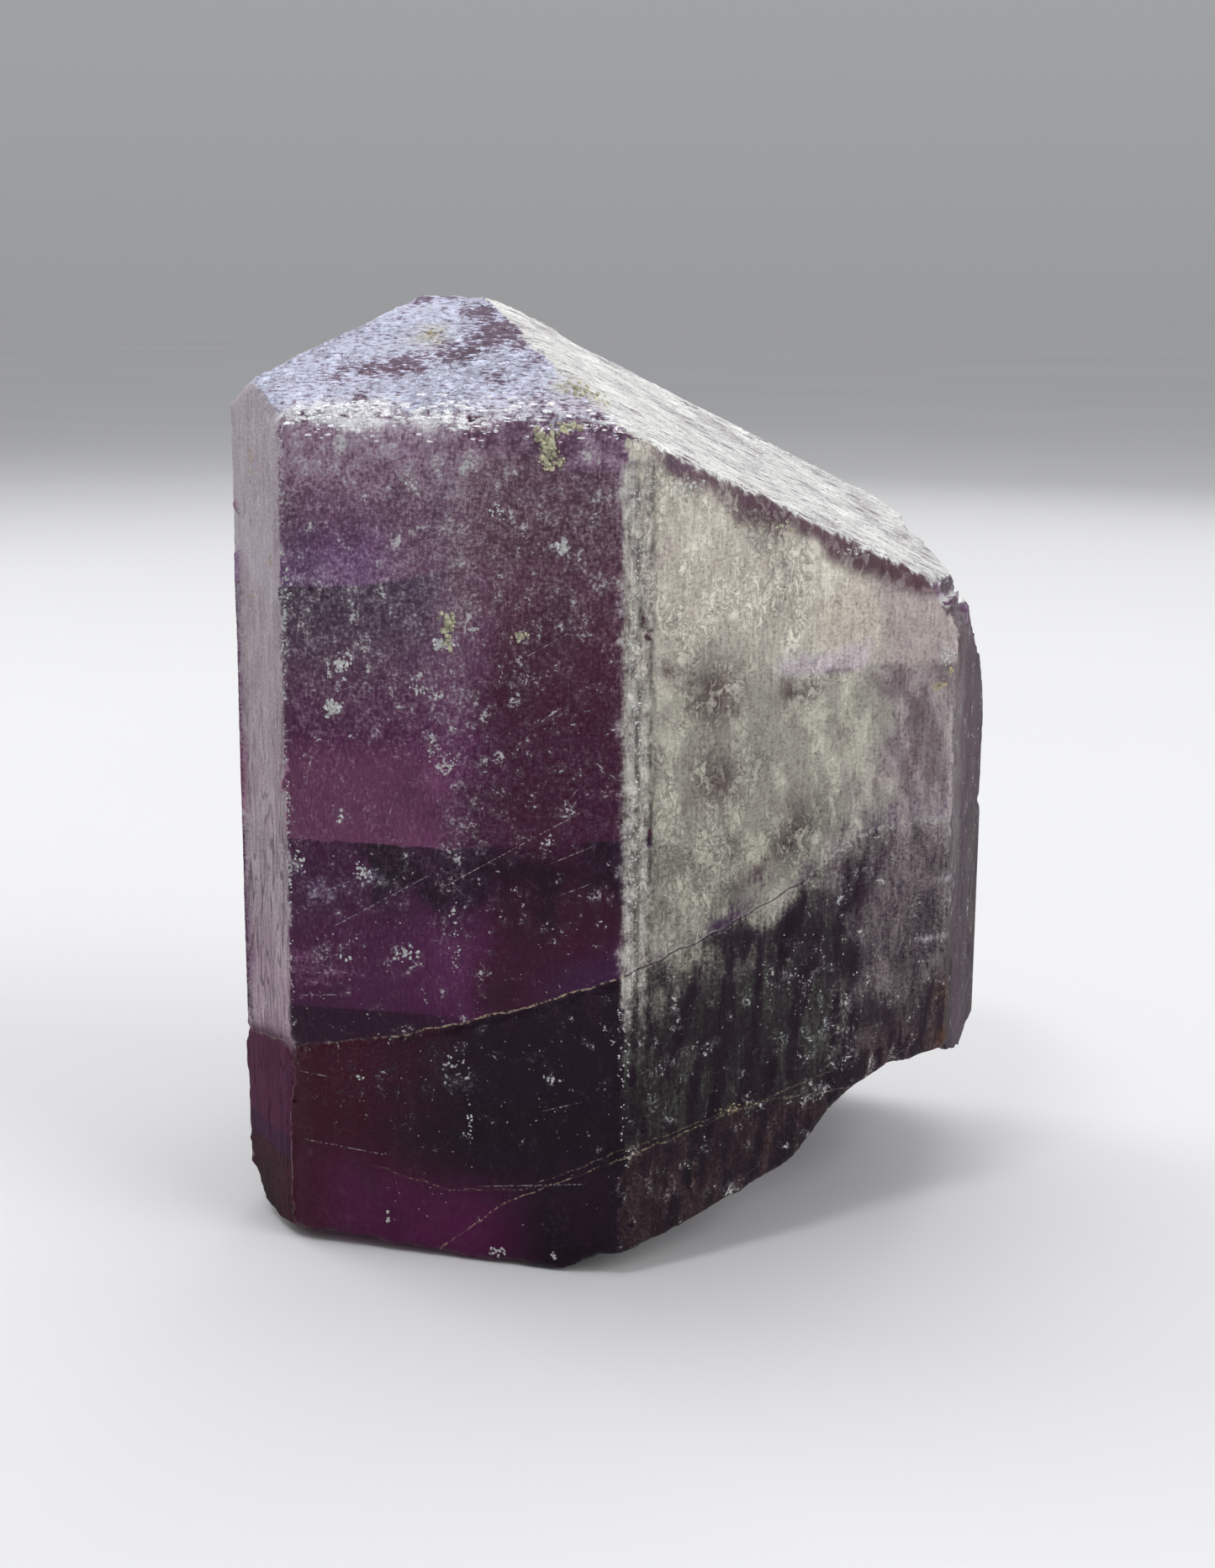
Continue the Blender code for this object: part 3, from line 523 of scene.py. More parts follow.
def faces_at(places, normals):
    """The crystal face that each place lies on, as a number, or -1 on a broken surface, and whether it is on the
    wall of a step."""
    planes = face_planes()
    facings = np.array([normals @ np.array(plane[0]) for plane in planes.values()])
    offs = plane_offs(places)
    x, y, z = places.T
    best = np.full(len(places), -1)
    score = np.full(len(places), 0.86)
    for number, (facing, off) in enumerate(zip(facings, offs)):
        near = facing - 0.05 * off
        chosen = (near > score) & (off < 1.2)
        best[chosen] = number
        score[chosen] = near[chosen]
    lost = best < 0
    closest = STEP_REACH + DEEP_STEP_REACH * smooth_step(z, 10.0, 13.0) * smooth_step(z, 28.0, 25.0)
    for number, (facing, off) in enumerate(zip(facings, offs)):
        chosen = lost & (off < closest) & (facing > -0.2)
        best[chosen] = number
        closest[chosen] = off[chosen]
    normal, distance = planes["top_right"][:2]
    corner = (x > 15.9 + (34.0 - z) * 0.36) & (z > 29.2) & (y < 1.8) & (distance - places @ np.array(normal) > 0.25)
    best[corner] = -1
    return best, lost & (best >= 0)


def even_copy(settings):
    """A mesh of the CAD solid with its points merged and its faces cut to one even size."""
    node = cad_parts[NODE]
    shape = bmesh.new()
    shape.from_mesh(node.data)
    bmesh.ops.remove_doubles(shape, verts=shape.verts, dist=1.0e-6)
    rough = bpy.data.meshes.new("rough copy")
    shape.to_mesh(rough)
    shape.free()
    holder = bpy.data.objects.new("rough copy", rough)
    bpy.context.scene.collection.objects.link(holder)
    low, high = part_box(NODE)
    extent = max(high - low)
    even = holder.modifiers.new("even faces", "REMESH")
    even.mode = "SHARP"
    even.octree_depth = 8
    even.scale = extent / (settings.cell * 2 ** even.octree_depth)
    even.sharpness = 1.0
    graph = bpy.context.evaluated_depsgraph_get()
    mesh = bpy.data.meshes.new_from_object(holder.evaluated_get(graph))
    bpy.data.objects.remove(holder)
    bpy.data.meshes.remove(rough)
    return mesh


def flatten_steps(mesh):
    """Brings the solid's growth steps near to the plane of their face, so that they show as low terraces."""
    places = mm_points(mesh)
    on_face, walls = faces_at(places, vertex_normals(mesh))
    for number, plane in enumerate(face_planes().values()):
        chosen = on_face == number
        step = np.clip(local_places(places[chosen], plane)[:, 2], -STEP_REACH, 0.0)
        places[chosen] -= (step * (1.0 - STEP_SHARE))[:, None] * np.array(plane[0])
    set_points(mesh, places)
    shape = bmesh.new()
    shape.from_mesh(mesh)
    shape.verts.ensure_lookup_table()
    on_walls = {shape.verts[number] for number in np.flatnonzero(walls)}
    beside = {end for vert in on_walls for edge in vert.link_edges for end in edge.verts}
    beside = sorted(beside, key=lambda vert: vert.index)
    for turn in range(WALL_SMOOTHINGS):
        bmesh.ops.smooth_vert(shape, verts=beside, factor=0.5, use_axis_x=True, use_axis_y=True, use_axis_z=True)
    shape.to_mesh(mesh)
    shape.free()


def worn(offs, first, second, width):
    """1 on the edge between two faces and 0 at this distance from it, as on a rounded edge."""
    away = np.maximum(offs[first], offs[second]) / width
    return np.clip(1.0 - away, 0.0, 1.0) ** 2


def edge_wear(places, names):
    """How deep the edges are rounded: most at the foot of the front slope."""
    offs = dict(zip(names, plane_offs(places)))
    lump = np.abs(noise_at(places / 0.62, 51.0))
    fine = np.abs(noise_at(places / 0.38, 17.0))
    foot = worn(offs, "front", "top_front", 1.7)
    depth = foot * (0.34 + 0.30 * lump) + np.sqrt(foot) * (0.16 * fine + 0.10 * lump)
    ridge = worn(offs, "top_front", "top_right", 1.3)
    depth += ridge * (0.10 + 0.18 * lump)
    for side in ("front_right", "front_left"):
        strip = worn(offs, "front", side, 0.9)
        depth += strip * 0.06 + np.sqrt(strip) * 0.10 * fine
    for side in ("front_right", "right"):
        depth += worn(offs, side, "top_right", 0.8) * (0.05 + 0.22 * lump)
    second = np.sort(np.array(list(offs.values())), axis=0)[1]
    return depth + soft_line(second, 0.35) * (0.03 + 0.08 * fine)


def side_etching(places):
    """Etched hollows on the front right face, and the groove beside its left edge."""
    across = across_side(places[:, 0])
    etched = np.clip(bump_at(across, places[:, 2], ETCHED_PATCHES), 0.0, 1.0)
    pits = smooth_step(noise_at(places / 0.5, 33.0), -0.15, 0.35)
    middle = 0.95 + 0.16 * noise_at(places[:, 2:3] * np.array((0.0, 0.0, 0.8)), 2.0)
    return etched * (0.05 + 0.15 * pits) + 0.11 * soft_line(across - middle, 0.15)


def carve(mesh, strength):
    """Sinks growth lines, hills, pits, grooves and worn edges into the skin."""
    places = mm_points(mesh)
    normals = vertex_normals(mesh)
    on_face = faces_at(places, normals)[0]
    depth = np.zeros(len(places))
    planes = face_planes()
    for number, (name, plane) in enumerate(planes.items()):
        chosen = np.flatnonzero(on_face == number)
        local = local_places(places[chosen], plane)
        hills, lines, pits = RELIEF[name]
        flat = np.stack([local[:, 0], local[:, 1], np.full(len(chosen), number * 7.3)], 1)
        hill = noise_at(flat / (hills[1], hills[2], 1.0), 3.1)
        line = np.abs(noise_at(flat / (lines[1], lines[2], 1.0), 11.7))
        pit = noise_at(flat / (pits[1], pits[2], 1.0), 23.3)
        pit = smooth_step(pit, 0.62 - pits[3], 0.80 - pits[3] * 0.6)
        depth[chosen] += hills[0] * (0.5 + 0.5 * hill) + lines[0] * line + pits[0] * pit
        if name == "front_right":
            depth[chosen] += side_etching(places[chosen])
    broken = np.flatnonzero(on_face < 0)
    for height, size in BROKEN_RELIEF:
        depth[broken] += height * (0.5 + 0.5 * noise_at(places[broken] / size, size * 9.0))
    corner = broken[places[broken, 2] > 25.0]
    depth[corner] += CORNER_LUMPS[0] * np.abs(noise_at(places[corner] / CORNER_LUMPS[1], 77.0))
    depth += edge_wear(places, list(planes)) * (on_face >= 0)
    depth += 0.09 * soft_line(places[:, 2] - crack_height(LONG_CRACK, places), 0.20)
    places -= normals * (depth * strength)[:, None]
    low, high = (np.array(corner) / MM for corner in CAD_BOX)
    set_points(mesh, np.clip(places, low, high))


class SkinLooks:
    """What the material reads at each point of the skin, while it is worked out step by step."""

    def __init__(self, mesh):
        self.places = mm_points(mesh)
        self.x, self.y, self.z = self.places.T
        self.across = across_side(self.x)
        self.on_face = faces_at(self.places, vertex_normals(mesh))[0]
        planes = face_planes()
        self.names = [*planes, "broken"]
        looks = [LOOKS[name] for name in self.names]
        self.frost, self.glitter, self.flecks, self.lines = (
            np.array([look[part] for look in looks])[self.on_face] for part in (0, 2, 3, 4)
        )
        self.colour = np.array([look[1] for look in looks])[self.on_face]
        self.creases = np.array([PATTERNS[name][4] for name in self.names])[self.on_face]
        self.faces = self.on_face >= 0
        self.front, self.side, self.left, self.slope = (
            self.on(name) for name in ("front", "front_right", "front_left", "top_front")
        )
        self.glassy = self.on("front", "back", "left")
        self.loose = layered_noise(self.places / 2.2, 5.0)
        self.clouds = layered_noise(self.places / (3.4, 3.4, 4.6), 61.0, 4)
        self.jitter = layered_noise(self.places / 0.8, 71.0, 3)
        self.terraces, self.blotch = np.zeros(len(self.x)), np.zeros(len(self.x))
        for number, (name, plane) in enumerate(planes.items()):
            chosen = np.flatnonzero(self.on_face == number)
            local = local_places(self.places[chosen], plane)
            width, length = PATTERNS[name][2:4]
            flat = np.stack([local[:, 0], local[:, 1], np.full(len(chosen), number * 9.1)], 1)
            self.terraces[chosen] = layered_noise(flat / (width, length, 1.0), 13.0, 3)
            self.blotch[chosen] = layered_noise(flat / (1.0, 2.4, 1.0), 43.0, 3)

    def on(self, *names):
        """True at the points on any of these faces."""
        return np.isin(self.on_face, [self.names.index(name) for name in names])

    def over(self, crack):
        """Height of each point over a crack."""
        return self.z - crack_height(crack, self.places)

    def strip_noise(self, wide, high, seed):
        """Noise that changes over these lengths across the front right edge's strip and along it."""
        sideways = 0.0 * self.z if wide is None else self.over_edge / wide
        return layered_noise(np.stack([sideways, 0.0 * self.z, self.z / high], 1), seed, 2)

    def lay(self, share, target):
        """Moves the thickness of the frost towards the target."""
        self.frost = blend(self.frost, share, target)

    def tint(self, share, name):
        """Moves the frost's colour towards a named one."""
        self.colour = blend(self.colour, share, FILM[name])

    def shade(self, factor):
        """Makes the frost's colour darker or brighter."""
        self.colour = self.colour * factor[:, None]

    def lighten(self, share, change):
        """Adds a share of this change to the frost's colour."""
        self.colour = self.colour + share[:, None] * np.array(change)

    def only_on(self, mask, dress):
        """Runs a step, and keeps what it did to frost, flecks and colour at the points of the mask alone."""
        frost, flecks, colour = self.frost, self.flecks, self.colour
        dress(self)
        self.frost, self.flecks = np.where(mask, self.frost, frost), np.where(mask, self.flecks, flecks)
        self.colour = np.where(mask[:, None], self.colour, colour)


def vary_faces(at):
    """Uneven frost on every face, and more of it where the photo doesn't show the crystal."""
    at.hidden = smooth_step(at.y + 3.0 * at.loose, -7.0, 0.0)
    slopes, narrow = at.on("top_right", "top_back", "top_left"), at.on("back_right", "back_left")
    at.frost = at.frost + np.where(at.glassy, 0.05, 0.10) * at.blotch
    at.frost = at.frost + at.glassy * at.hidden * (0.22 * at.clouds + 0.10 * at.loose)
    at.frost = at.frost + 0.30 * slopes * np.minimum(at.clouds + 0.5 * at.loose, 0.1)
    at.frost = at.frost + narrow * at.hidden * (0.36 * at.clouds + 0.22 * at.loose)
    at.shade(1.0 + slopes * (0.22 * at.clouds + 0.12 * at.loose))
    at.shade(1.0 + 0.16 * at.blotch)


def dress_front(at):
    """Frost and flecks of the front face: thick at the top and along both edges, thin on the mauve panel."""
    x, z = at.x, at.z
    panel = smooth_step(x, -3.9, -5.4) * smooth_step(z, 20.3, 20.8) * smooth_step(z, 26.5, 24.0)
    at.frost = at.frost + 0.10 * smooth_step(z, 29.0, 39.0) + 0.07 * soft_line(x + 4.1, 1.0) * (z > 12.0)
    at.frost = at.frost - 0.12 * panel - 0.08 * smooth_step(z, 20.6, 19.6) - 0.18 * smooth_step(z, 14.5, 11.5)
    at.frost = at.frost - 0.09 * smooth_step(x, -4.6, -1.6) * smooth_step(z, 33.0, 27.0)
    at.frost = at.frost + 0.05 * smooth_step(x, -1.6, -4.4) * smooth_step(z, 24.5, 28.0) * smooth_step(z, 36.0, 33.0)
    at.flecks = at.flecks * (1.0 - 0.8 * panel) * smooth_step(z, -3.0, 28.0) + 0.6 * bump_at(x, z, FLECK_PATCHES)
    at.flecks = at.flecks + 0.22 * soft_line(x + 4.2, 0.7) * smooth_step(z, 4.0, 26.0)
    at.flecks = at.flecks + 0.12 * smooth_step(z, 33.0, 40.0)


def dress_side(at):
    """Frost of the front right face: grey-green film in soft leaf-shaped patches, lighter high up and darker low down
    as a painted sheen, peach and lavender high on the right, and mauve in slabs below them."""
    z, across, loose = at.z, at.across, at.loose
    leaves = smooth_step(at.blotch + 0.3 * loose, -0.06, 0.10)
    at.shade(0.83 + 0.31 * leaves)
    # Lighter towards the top and darker low down: a painted sheen, the reflection of a light on the upper part of the
    # face that ends lower down.
    at.lighten(smooth_step(z + loose * 2.0, 26.0, 33.0), (0.225, 0.200, 0.180))
    at.lighten(smooth_step(z + loose * 2.0, 24.0, 16.0), (-0.05, -0.05, -0.045))
    over_line = smooth_step(z + loose * 0.15, 28.45, 28.65)
    at.tint(0.8 * over_line * smooth_step(across + loose, 12.6, 15.0), "rosy")
    from_peach = np.hypot((across - 12.0) / 2.0, (z - 30.6) / 2.2)
    at.tint(0.8 * smooth_step(from_peach + 0.25 * loose, 1.05, 0.80), "peach")
    lavender = over_line * smooth_step(z + 0.5 * loose, 30.1, 29.3)
    lavender = lavender * smooth_step(across + loose, 7.8, 9.4) * smooth_step(across + loose, 13.6, 12.6)
    at.tint(0.8 * lavender, "lavender")
    right = smooth_step(across + loose * 2.2, 12.3, 15.5)
    right = np.maximum(right, smooth_step(across + 0.9 * (22.0 - z) + loose * 3.0, 13.0, 16.0)) * (1.0 - over_line)
    slabs = np.stack([(across * 0.94 + z * 0.34) / 1.3, (z * 0.94 - across * 0.34) / 5.0, 0.0 * z], 1)
    slabs = layered_noise(slabs, 29.0)
    slab_tone = 0.76 + 0.42 * smooth_step(slabs, -0.03, 0.05) + 0.25 * at.blotch
    at.tint(right, "mauve slabs")
    at.shade(1.0 - right * (1.0 - slab_tone))
    at.frost = at.frost - 0.13 * right


def etch_faces(at):
    """Where the faces are etched dark, and where creases and the rims of terraces show."""
    normal, distance = face_planes()["top_right"][:2]
    under_slope = smooth_step(distance - at.places @ np.array(normal) + at.loose * 0.9, 1.5, 0.3)
    under_slope = under_slope * smooth_step(at.across, 0.4, 2.4)
    at.tint(0.8 * at.side * under_slope, "strip under the slope")
    spots = smooth_step(layered_noise(at.places / (2.6, 2.6, 3.4), 83.0, 2), 0.34, 0.62)
    spotted = at.faces & ~at.glassy & ~at.left & ~at.side & (at.z < 33.0)
    at.etching = at.side * np.clip(bump_at(at.across, at.z, ETCHED_PATCHES) + under_slope, 0.0, 1.0)
    at.etching = at.etching + 0.4 * spots * spotted * at.hidden
    at.creases = at.creases * np.where(at.side, smooth_step(at.across, 15.0, 9.0), 1.0)
    at.creases = at.creases * smooth_step(at.clouds + at.blotch, -0.6, 0.3) + at.etching * 0.5
    at.rims = at.left * smooth_step(at.z + 4.0 * at.loose, 33.0, 18.0) + 0.45 * at.etching
    beside_strip = at.side * smooth_step(at.across + 2.0 * at.loose, 8.0, 4.0)
    at.rims = at.rims + 0.40 * beside_strip * smooth_step(at.blotch, -0.2, 0.2)


def dress_left_strip(at):
    """The front left face: a bluer patch at its top and a rosier foot."""
    patch = at.left * smooth_step(at.z + 0.55 * (at.x + 15.0) + at.loose * 0.6, 32.4, 32.6)
    at.lighten(patch, (0.03, 0.04, 0.055))
    at.lighten(at.left * smooth_step(at.z, 20.0, 12.0), (0.01, -0.03, 0.005))


def open_front_slope(at):
    """Open and yellow spots in the thick frost of the front slope."""
    opened = at.slope * np.clip(bump_at(at.x, at.y, OPEN_SPOTS), 0.0, 1.2)
    at.frost = at.frost - opened * (0.72 + 1.0 * at.jitter)
    at.lines = at.lines + 1.6 * opened
    yellow = at.slope * bump_at(at.x, at.y, YELLOW_SPOTS)
    at.tint(np.clip(yellow + yellow * at.jitter, 0.0, 1.0), "yellow")


def fade_low_sides(at):
    """Thins the frost below the long crack on the side faces, and notes by how much."""
    over, x = at.over(LONG_CRACK), at.x
    sides = (at.faces & ~at.front) * smooth_step(at.y + 3.0 * at.loose, 5.0, -3.0)
    soft = smooth_step(over + at.loose * 2.4, 1.4, -3.6)
    soft = soft * (1.0 - 0.7 * smooth_step(x + at.loose, 12.4, 14.0) * smooth_step(at.z + at.loose, 9.0, 13.0))
    left = smooth_step(over + at.loose * 0.5, 0.9, -0.4) * (x < -4.0) * sides
    at.frost = at.frost - np.maximum(np.where(sides, 0.60, 0.0) * soft, 0.80 * left)
    at.faded = np.maximum(soft, left) * sides


def dress_low_side(at):
    """Dark grey-green lower part of the front right face, with leaning bars of clear crystal between its film."""
    x, z, across, loose = at.x, at.z, at.across, at.loose
    bars = layered_noise(np.stack([(across - 0.22 * z) / 0.85, (z + 0.22 * across) / 4.2, 0.0 * z], 1), 91.0, 2)
    bars = smooth_step(bars, 0.04, 0.12) * smooth_step(across + loose, 1.5, 3.0)
    at.low_side = low = at.faded * at.side
    under_foot = smooth_step(at.over(LOW_CRACK), 0.1, -0.4)
    to_right = smooth_step(x + 0.6 * loose, 12.6, 14.2)
    at.lay(low, 0.51 + 0.26 * at.blotch + 0.18 * loose - 0.56 * bars)
    at.frost = at.frost + low * (0.10 * under_foot + 0.20 * to_right)
    # Dark grey-green over the whole zone below the long crack: painted shade of that crack.
    at.tint(low, "dark grey-green")
    at.shade(1.0 + 0.3 * (low * loose))
    at.tint(low * to_right, "low right")
    lilac = low * to_right * smooth_step(z + 1.5 * loose, 11.5, 15.5)
    at.lay(lilac, 0.80)
    at.tint(lilac, "lilac")
    at.tint(low * under_foot, "brown foot")
    at.lines = blend(at.lines, low, 0.75)
    at.flecks = blend(at.flecks, low, 0.13 + 0.17 * smooth_step(across, 8.0, 11.0))


def dress_front_zones(at):
    """Veils below the long crack, clear crystal up to the panel's crack, and glow, smoke and bands in the front."""
    x, z, front = at.x, at.z, at.front
    veils = layered_noise(np.stack([(x - 0.1 * z) / 0.9, 0.0 * z, z / 4.0], 1), 33.0, 3)
    under_long = front * smooth_step(at.over(LONG_CRACK), 0.05, -0.05)
    at.frost = at.frost + under_long * (0.14 * veils + 0.02)
    # Darker frost below the long crack: painted shade of that crack.
    at.tint(0.75 * under_long, "below the long crack")
    deep = front * smooth_step(at.over(PANEL_CRACK), 0.2, -0.2) * (1.0 - under_long)
    at.tint(0.7 * deep, "below the panel")
    at.frost = at.frost - deep * (0.04 + 0.05 * smooth_step(x + at.loose, -5.0, -1.0))
    glow = front * bump_at(x, z, GLOW_PATCHES) * smooth_step(z, 33.4, 34.2)
    at.frost = at.frost - 0.05 * glow
    at.tint(np.clip(0.85 * glow, 0.0, 1.0), "violet glow")
    smoke = front * bump_at(x, z, SMOKE_PATCHES)
    at.frost = at.frost + 0.30 * smoke * (0.6 + at.jitter)
    at.tint(np.clip(0.7 * smoke, 0.0, 1.0), "smoke")
    banded = front * smooth_step(np.hypot((x + 12.2) / 3.2, (z - 14.2) / 1.0) + 0.3 * at.jitter, 1.1, 0.5)
    at.frost = at.frost + 0.22 * banded * (1.0 + np.sin(z * 9.0 + 2.0 * at.loose))
    at.tint(0.8 * banded, "bands")


def dress_low_left(at):
    """Below the long crack on the front left face: violet, a darker band, and a dark foot."""
    at.low_left = low = at.faded * (at.x < -4.0) * at.left
    at.frost = at.frost + 0.60 * low
    # Dark violet over the zone below the long crack: painted shade of that crack.
    at.tint(low, "low left")
    at.tint(low * smooth_step(at.z + 0.1 * at.loose, 5.35, 5.25), "violet band")
    at.tint(low * smooth_step(at.z + 0.2 * at.loose, 4.2, 4.0), "dark foot")
    at.lines = at.lines * (1.0 - 0.45 * at.faded * ~at.side)


def dress_right(at):
    """The near part of the right face, and the level marks and the thin line that reach it from the left."""
    x, y, z, across, loose = at.x, at.y, at.z, at.across, at.loose
    near = (x > 17.0) * at.faces * smooth_step(y + 1.5 * loose, 3.0, -1.0)
    at.lighten(near * smooth_step(z + loose, 12.5, 19.0), (0.105, 0.100, 0.098))
    at.shade(1.0 - 0.60 * near * smooth_step(z + loose, 13.5, 9.5))
    level = sum(soft_line(z - height - 0.10 * loose, 0.07) for height in LEVEL_MARKS)
    level = level * smooth_step(across + 0.8 * at.jitter, 16.6, 17.4) * smooth_step(y, -0.6, -1.0)
    level = 0.5 * np.clip(level * at.faces * (x > 15.0), 0.0, 1.0)
    at.lay(level, 1.0)
    at.tint(level, "level marks")
    thin = soft_line(z - 28.5 - 0.3 * loose, 0.11) * at.side * smooth_step(across, 10.4, 11.0)
    at.shade(1.0 - 0.5 * thin)


def dress_edge_strip(at):
    """The beaded pale strips and dark grooves along the front right edge, and crust along the front left edge."""
    x, y, z, jitter = at.x, at.y, at.z, at.jitter
    half_turn = math.radians(22.5)
    over_edge = (x - FRONT_RIGHT_EDGE_X) * math.cos(half_turn) + (y - FRONT_Y) * math.sin(half_turn)
    at.over_edge = over_edge = over_edge + 0.10 * jitter
    upper = (at.front | at.side) * smooth_step(z, 39.2, 38.6) * smooth_step(z + at.loose, 10.0, 16.0)
    swayed = over_edge + 0.12 * at.strip_noise(None, 1.3, 17.0)
    beads = at.strip_noise(0.5, 0.55, 57.0)
    ridge = smooth_step(np.abs(swayed - 0.05), 0.42, 0.26) * upper
    beside = smooth_step(np.abs(swayed - 0.86), 0.24, 0.12) * upper
    strip = np.maximum(ridge, 0.8 * beside)
    at.lay(strip, 0.98 + 0.35 * np.minimum(beads, 0.1))
    at.tint(strip, "edge strip")
    at.shade(1.0 + 0.75 * (strip * beads))
    at.flecks, at.lines = blend(at.flecks, strip, 0.20), blend(at.lines, strip, 1.6)
    at.etching = blend(at.etching, strip, 0.20)
    groove = np.maximum(soft_line(swayed - 0.52, 0.10), soft_line(swayed - 1.20, 0.10))
    groove = np.maximum(groove, 0.8 * soft_line(swayed + 0.45, 0.09)) * upper
    groove = np.clip(groove * (1.0 + 0.8 * jitter), 0.0, 1.0)
    at.shade(1.0 - 0.70 * groove)
    at.etching, at.flecks = blend(at.etching, groove, 0.0), blend(at.flecks, groove, 0.0)
    at.frost = at.frost + 0.12 * smooth_step(over_edge, -0.7, -0.3) * (over_edge < -0.2) * upper
    from_left_edge = np.hypot(x - FRONT_LEFT_EDGE_X, y - FRONT_Y)
    at.flecks = at.flecks + 0.35 * smooth_step(from_left_edge + 0.3 * jitter, 0.6, 0.2) * (z > 9.0)


def dress_slope_foot(at):
    """The thick bright crust at the foot of the front slope, the haze below it, and the mauve corner at its right end,
    which the crust leaves bare. The crust's near-white colour is its pale frost, brightened further as a painted
    highlight."""
    x, z, loose, jitter = at.x, at.z, at.loose, at.jitter
    offs = dict(zip(at.names, plane_offs(at.places)))
    away = np.maximum(offs["front"], offs["top_front"]) + 0.45 * loose + 0.25 * jitter
    bare = smooth_step(x + 1.2 * loose + 0.8 * jitter, -4.6, -0.6) * smooth_step(z + 0.4 * jitter, 41.7, 41.2)
    foot = smooth_step(away, 1.2, 0.4) * at.faces * (1.0 - bare)
    at.frost = at.frost - 0.20 * bare * at.slope
    at.tint(0.8 * bare * at.slope, "open slope")
    at.lay(foot, 1.0 + 0.2 * jitter)
    # Near-white foot: pale crust, brightened as a painted highlight of its glossy scales.
    at.tint(foot, "slope's foot")
    at.glitter = np.maximum(at.glitter, foot)
    haze = 0.8 * smooth_step(away + 0.5 * loose, 4.2, 0.9) * smooth_step(away, 0.5, 1.1) * at.front * (1.0 - bare)
    at.lay(haze, 0.66 + 0.30 * jitter)
    at.tint(haze, "haze")
    mauve = smooth_step(z + 0.10 * loose, 38.15, 38.4) * smooth_step(x + 1.5 * loose, -5.2, -2.0) * at.front
    mauve = mauve * np.maximum(smooth_step(z + 0.4 * loose, 38.6, 39.3), smooth_step(x, 0.9, 1.3))
    mauve = mauve * smooth_step(away, 0.6, 0.9)
    at.lay(mauve, 0.42 + 0.30 * jitter)
    at.tint(0.8 * mauve, "top mauve")
    ridge_away = np.maximum(offs["front"], offs["top_right"]) + 0.5 * loose
    at.lay(0.7 * smooth_step(ridge_away, 2.4, 0.8) * at.faces * (x < 9.0) * (1.0 - bare), 0.75)


def dress_breaks(at):
    """The glinting broken corner at the upper right, the brown broken rim, and rust stains near it."""
    corner = (~at.faces & (at.z > 25.0)).astype(float)
    at.lay(corner, 0.20 + 0.30 * at.jitter)
    at.flecks = blend(at.flecks, corner, 0.42)
    at.glitter = np.maximum(at.glitter, 0.8 * corner)
    at.tint(corner, "broken corner")
    rim = ~at.faces & (at.z < 14.0) & (np.min(plane_offs(at.places), axis=0) < 0.8)
    at.frost = np.where(rim, 0.35 + 0.4 * at.loose, at.frost)
    at.tint(rim.astype(float), "broken rim")
    stain = bump_at(at.y, at.z, RUST_STAINS) * at.faces * (at.x > 16.6) * (at.z < 14.0)
    stain = np.clip(stain + stain * at.loose, 0.0, 1.0)
    at.lay(stain, 0.8)
    at.tint(stain, "rust")


def store_looks(mesh):
    """Stores what the material reads at each point: frost, flecks, glitter, etching, growth lines, the frost's
    colour, slow patterns and the heights over each crack."""
    at = SkinLooks(mesh)
    vary_faces(at)
    at.only_on(at.front, dress_front)
    at.only_on(at.side, dress_side)
    for dress in (
        etch_faces, dress_left_strip, open_front_slope, fade_low_sides, dress_low_side, dress_front_zones,
        dress_low_left, dress_right, dress_edge_strip, dress_slope_foot, dress_breaks,
    ):
        dress(at)
    dull = np.maximum(smooth_step(at.x, 16.9, 17.3) * at.faces, np.maximum(at.low_left, 0.8 * at.low_side))
    near_front = smooth_step(at.y + 2.0 * at.jitter, -5.0, -12.0)
    near_front = np.maximum(near_front, at.side + (at.x > 16.8) * smooth_step(at.y + 2.0 * at.loose, 2.0, -1.0))
    stored = {
        "covers": (np.clip(at.frost, -0.3, 1.05), np.clip(at.flecks, 0.0, 1.2), at.lines),
        "touches": (np.clip(at.glitter, 0.0, 1.0), at.etching, dull),
        "marks": (np.clip(at.creases, 0.0, 1.0), at.rims, at.side),
        "slow": (at.clouds, at.jitter, at.terraces),
        "front": (at.front, near_front, 0.0 * near_front),
        "low_cracks": [at.over(crack) for crack in (LONG_CRACK, LOW_CRACK, FOOT_CRACK)],
        "high_cracks": [at.over(crack) for crack in (PANEL_CRACK, VIOLET_EDGE, LENS_EDGE)],
    }
    for name, values in stored.items():
        add_values(mesh, name, "FLOAT_VECTOR", np.stack(values, 1))
    add_values(mesh, "frost_colour", "FLOAT_COLOR", with_alpha(np.clip(at.colour, 0.02, 1.0)))


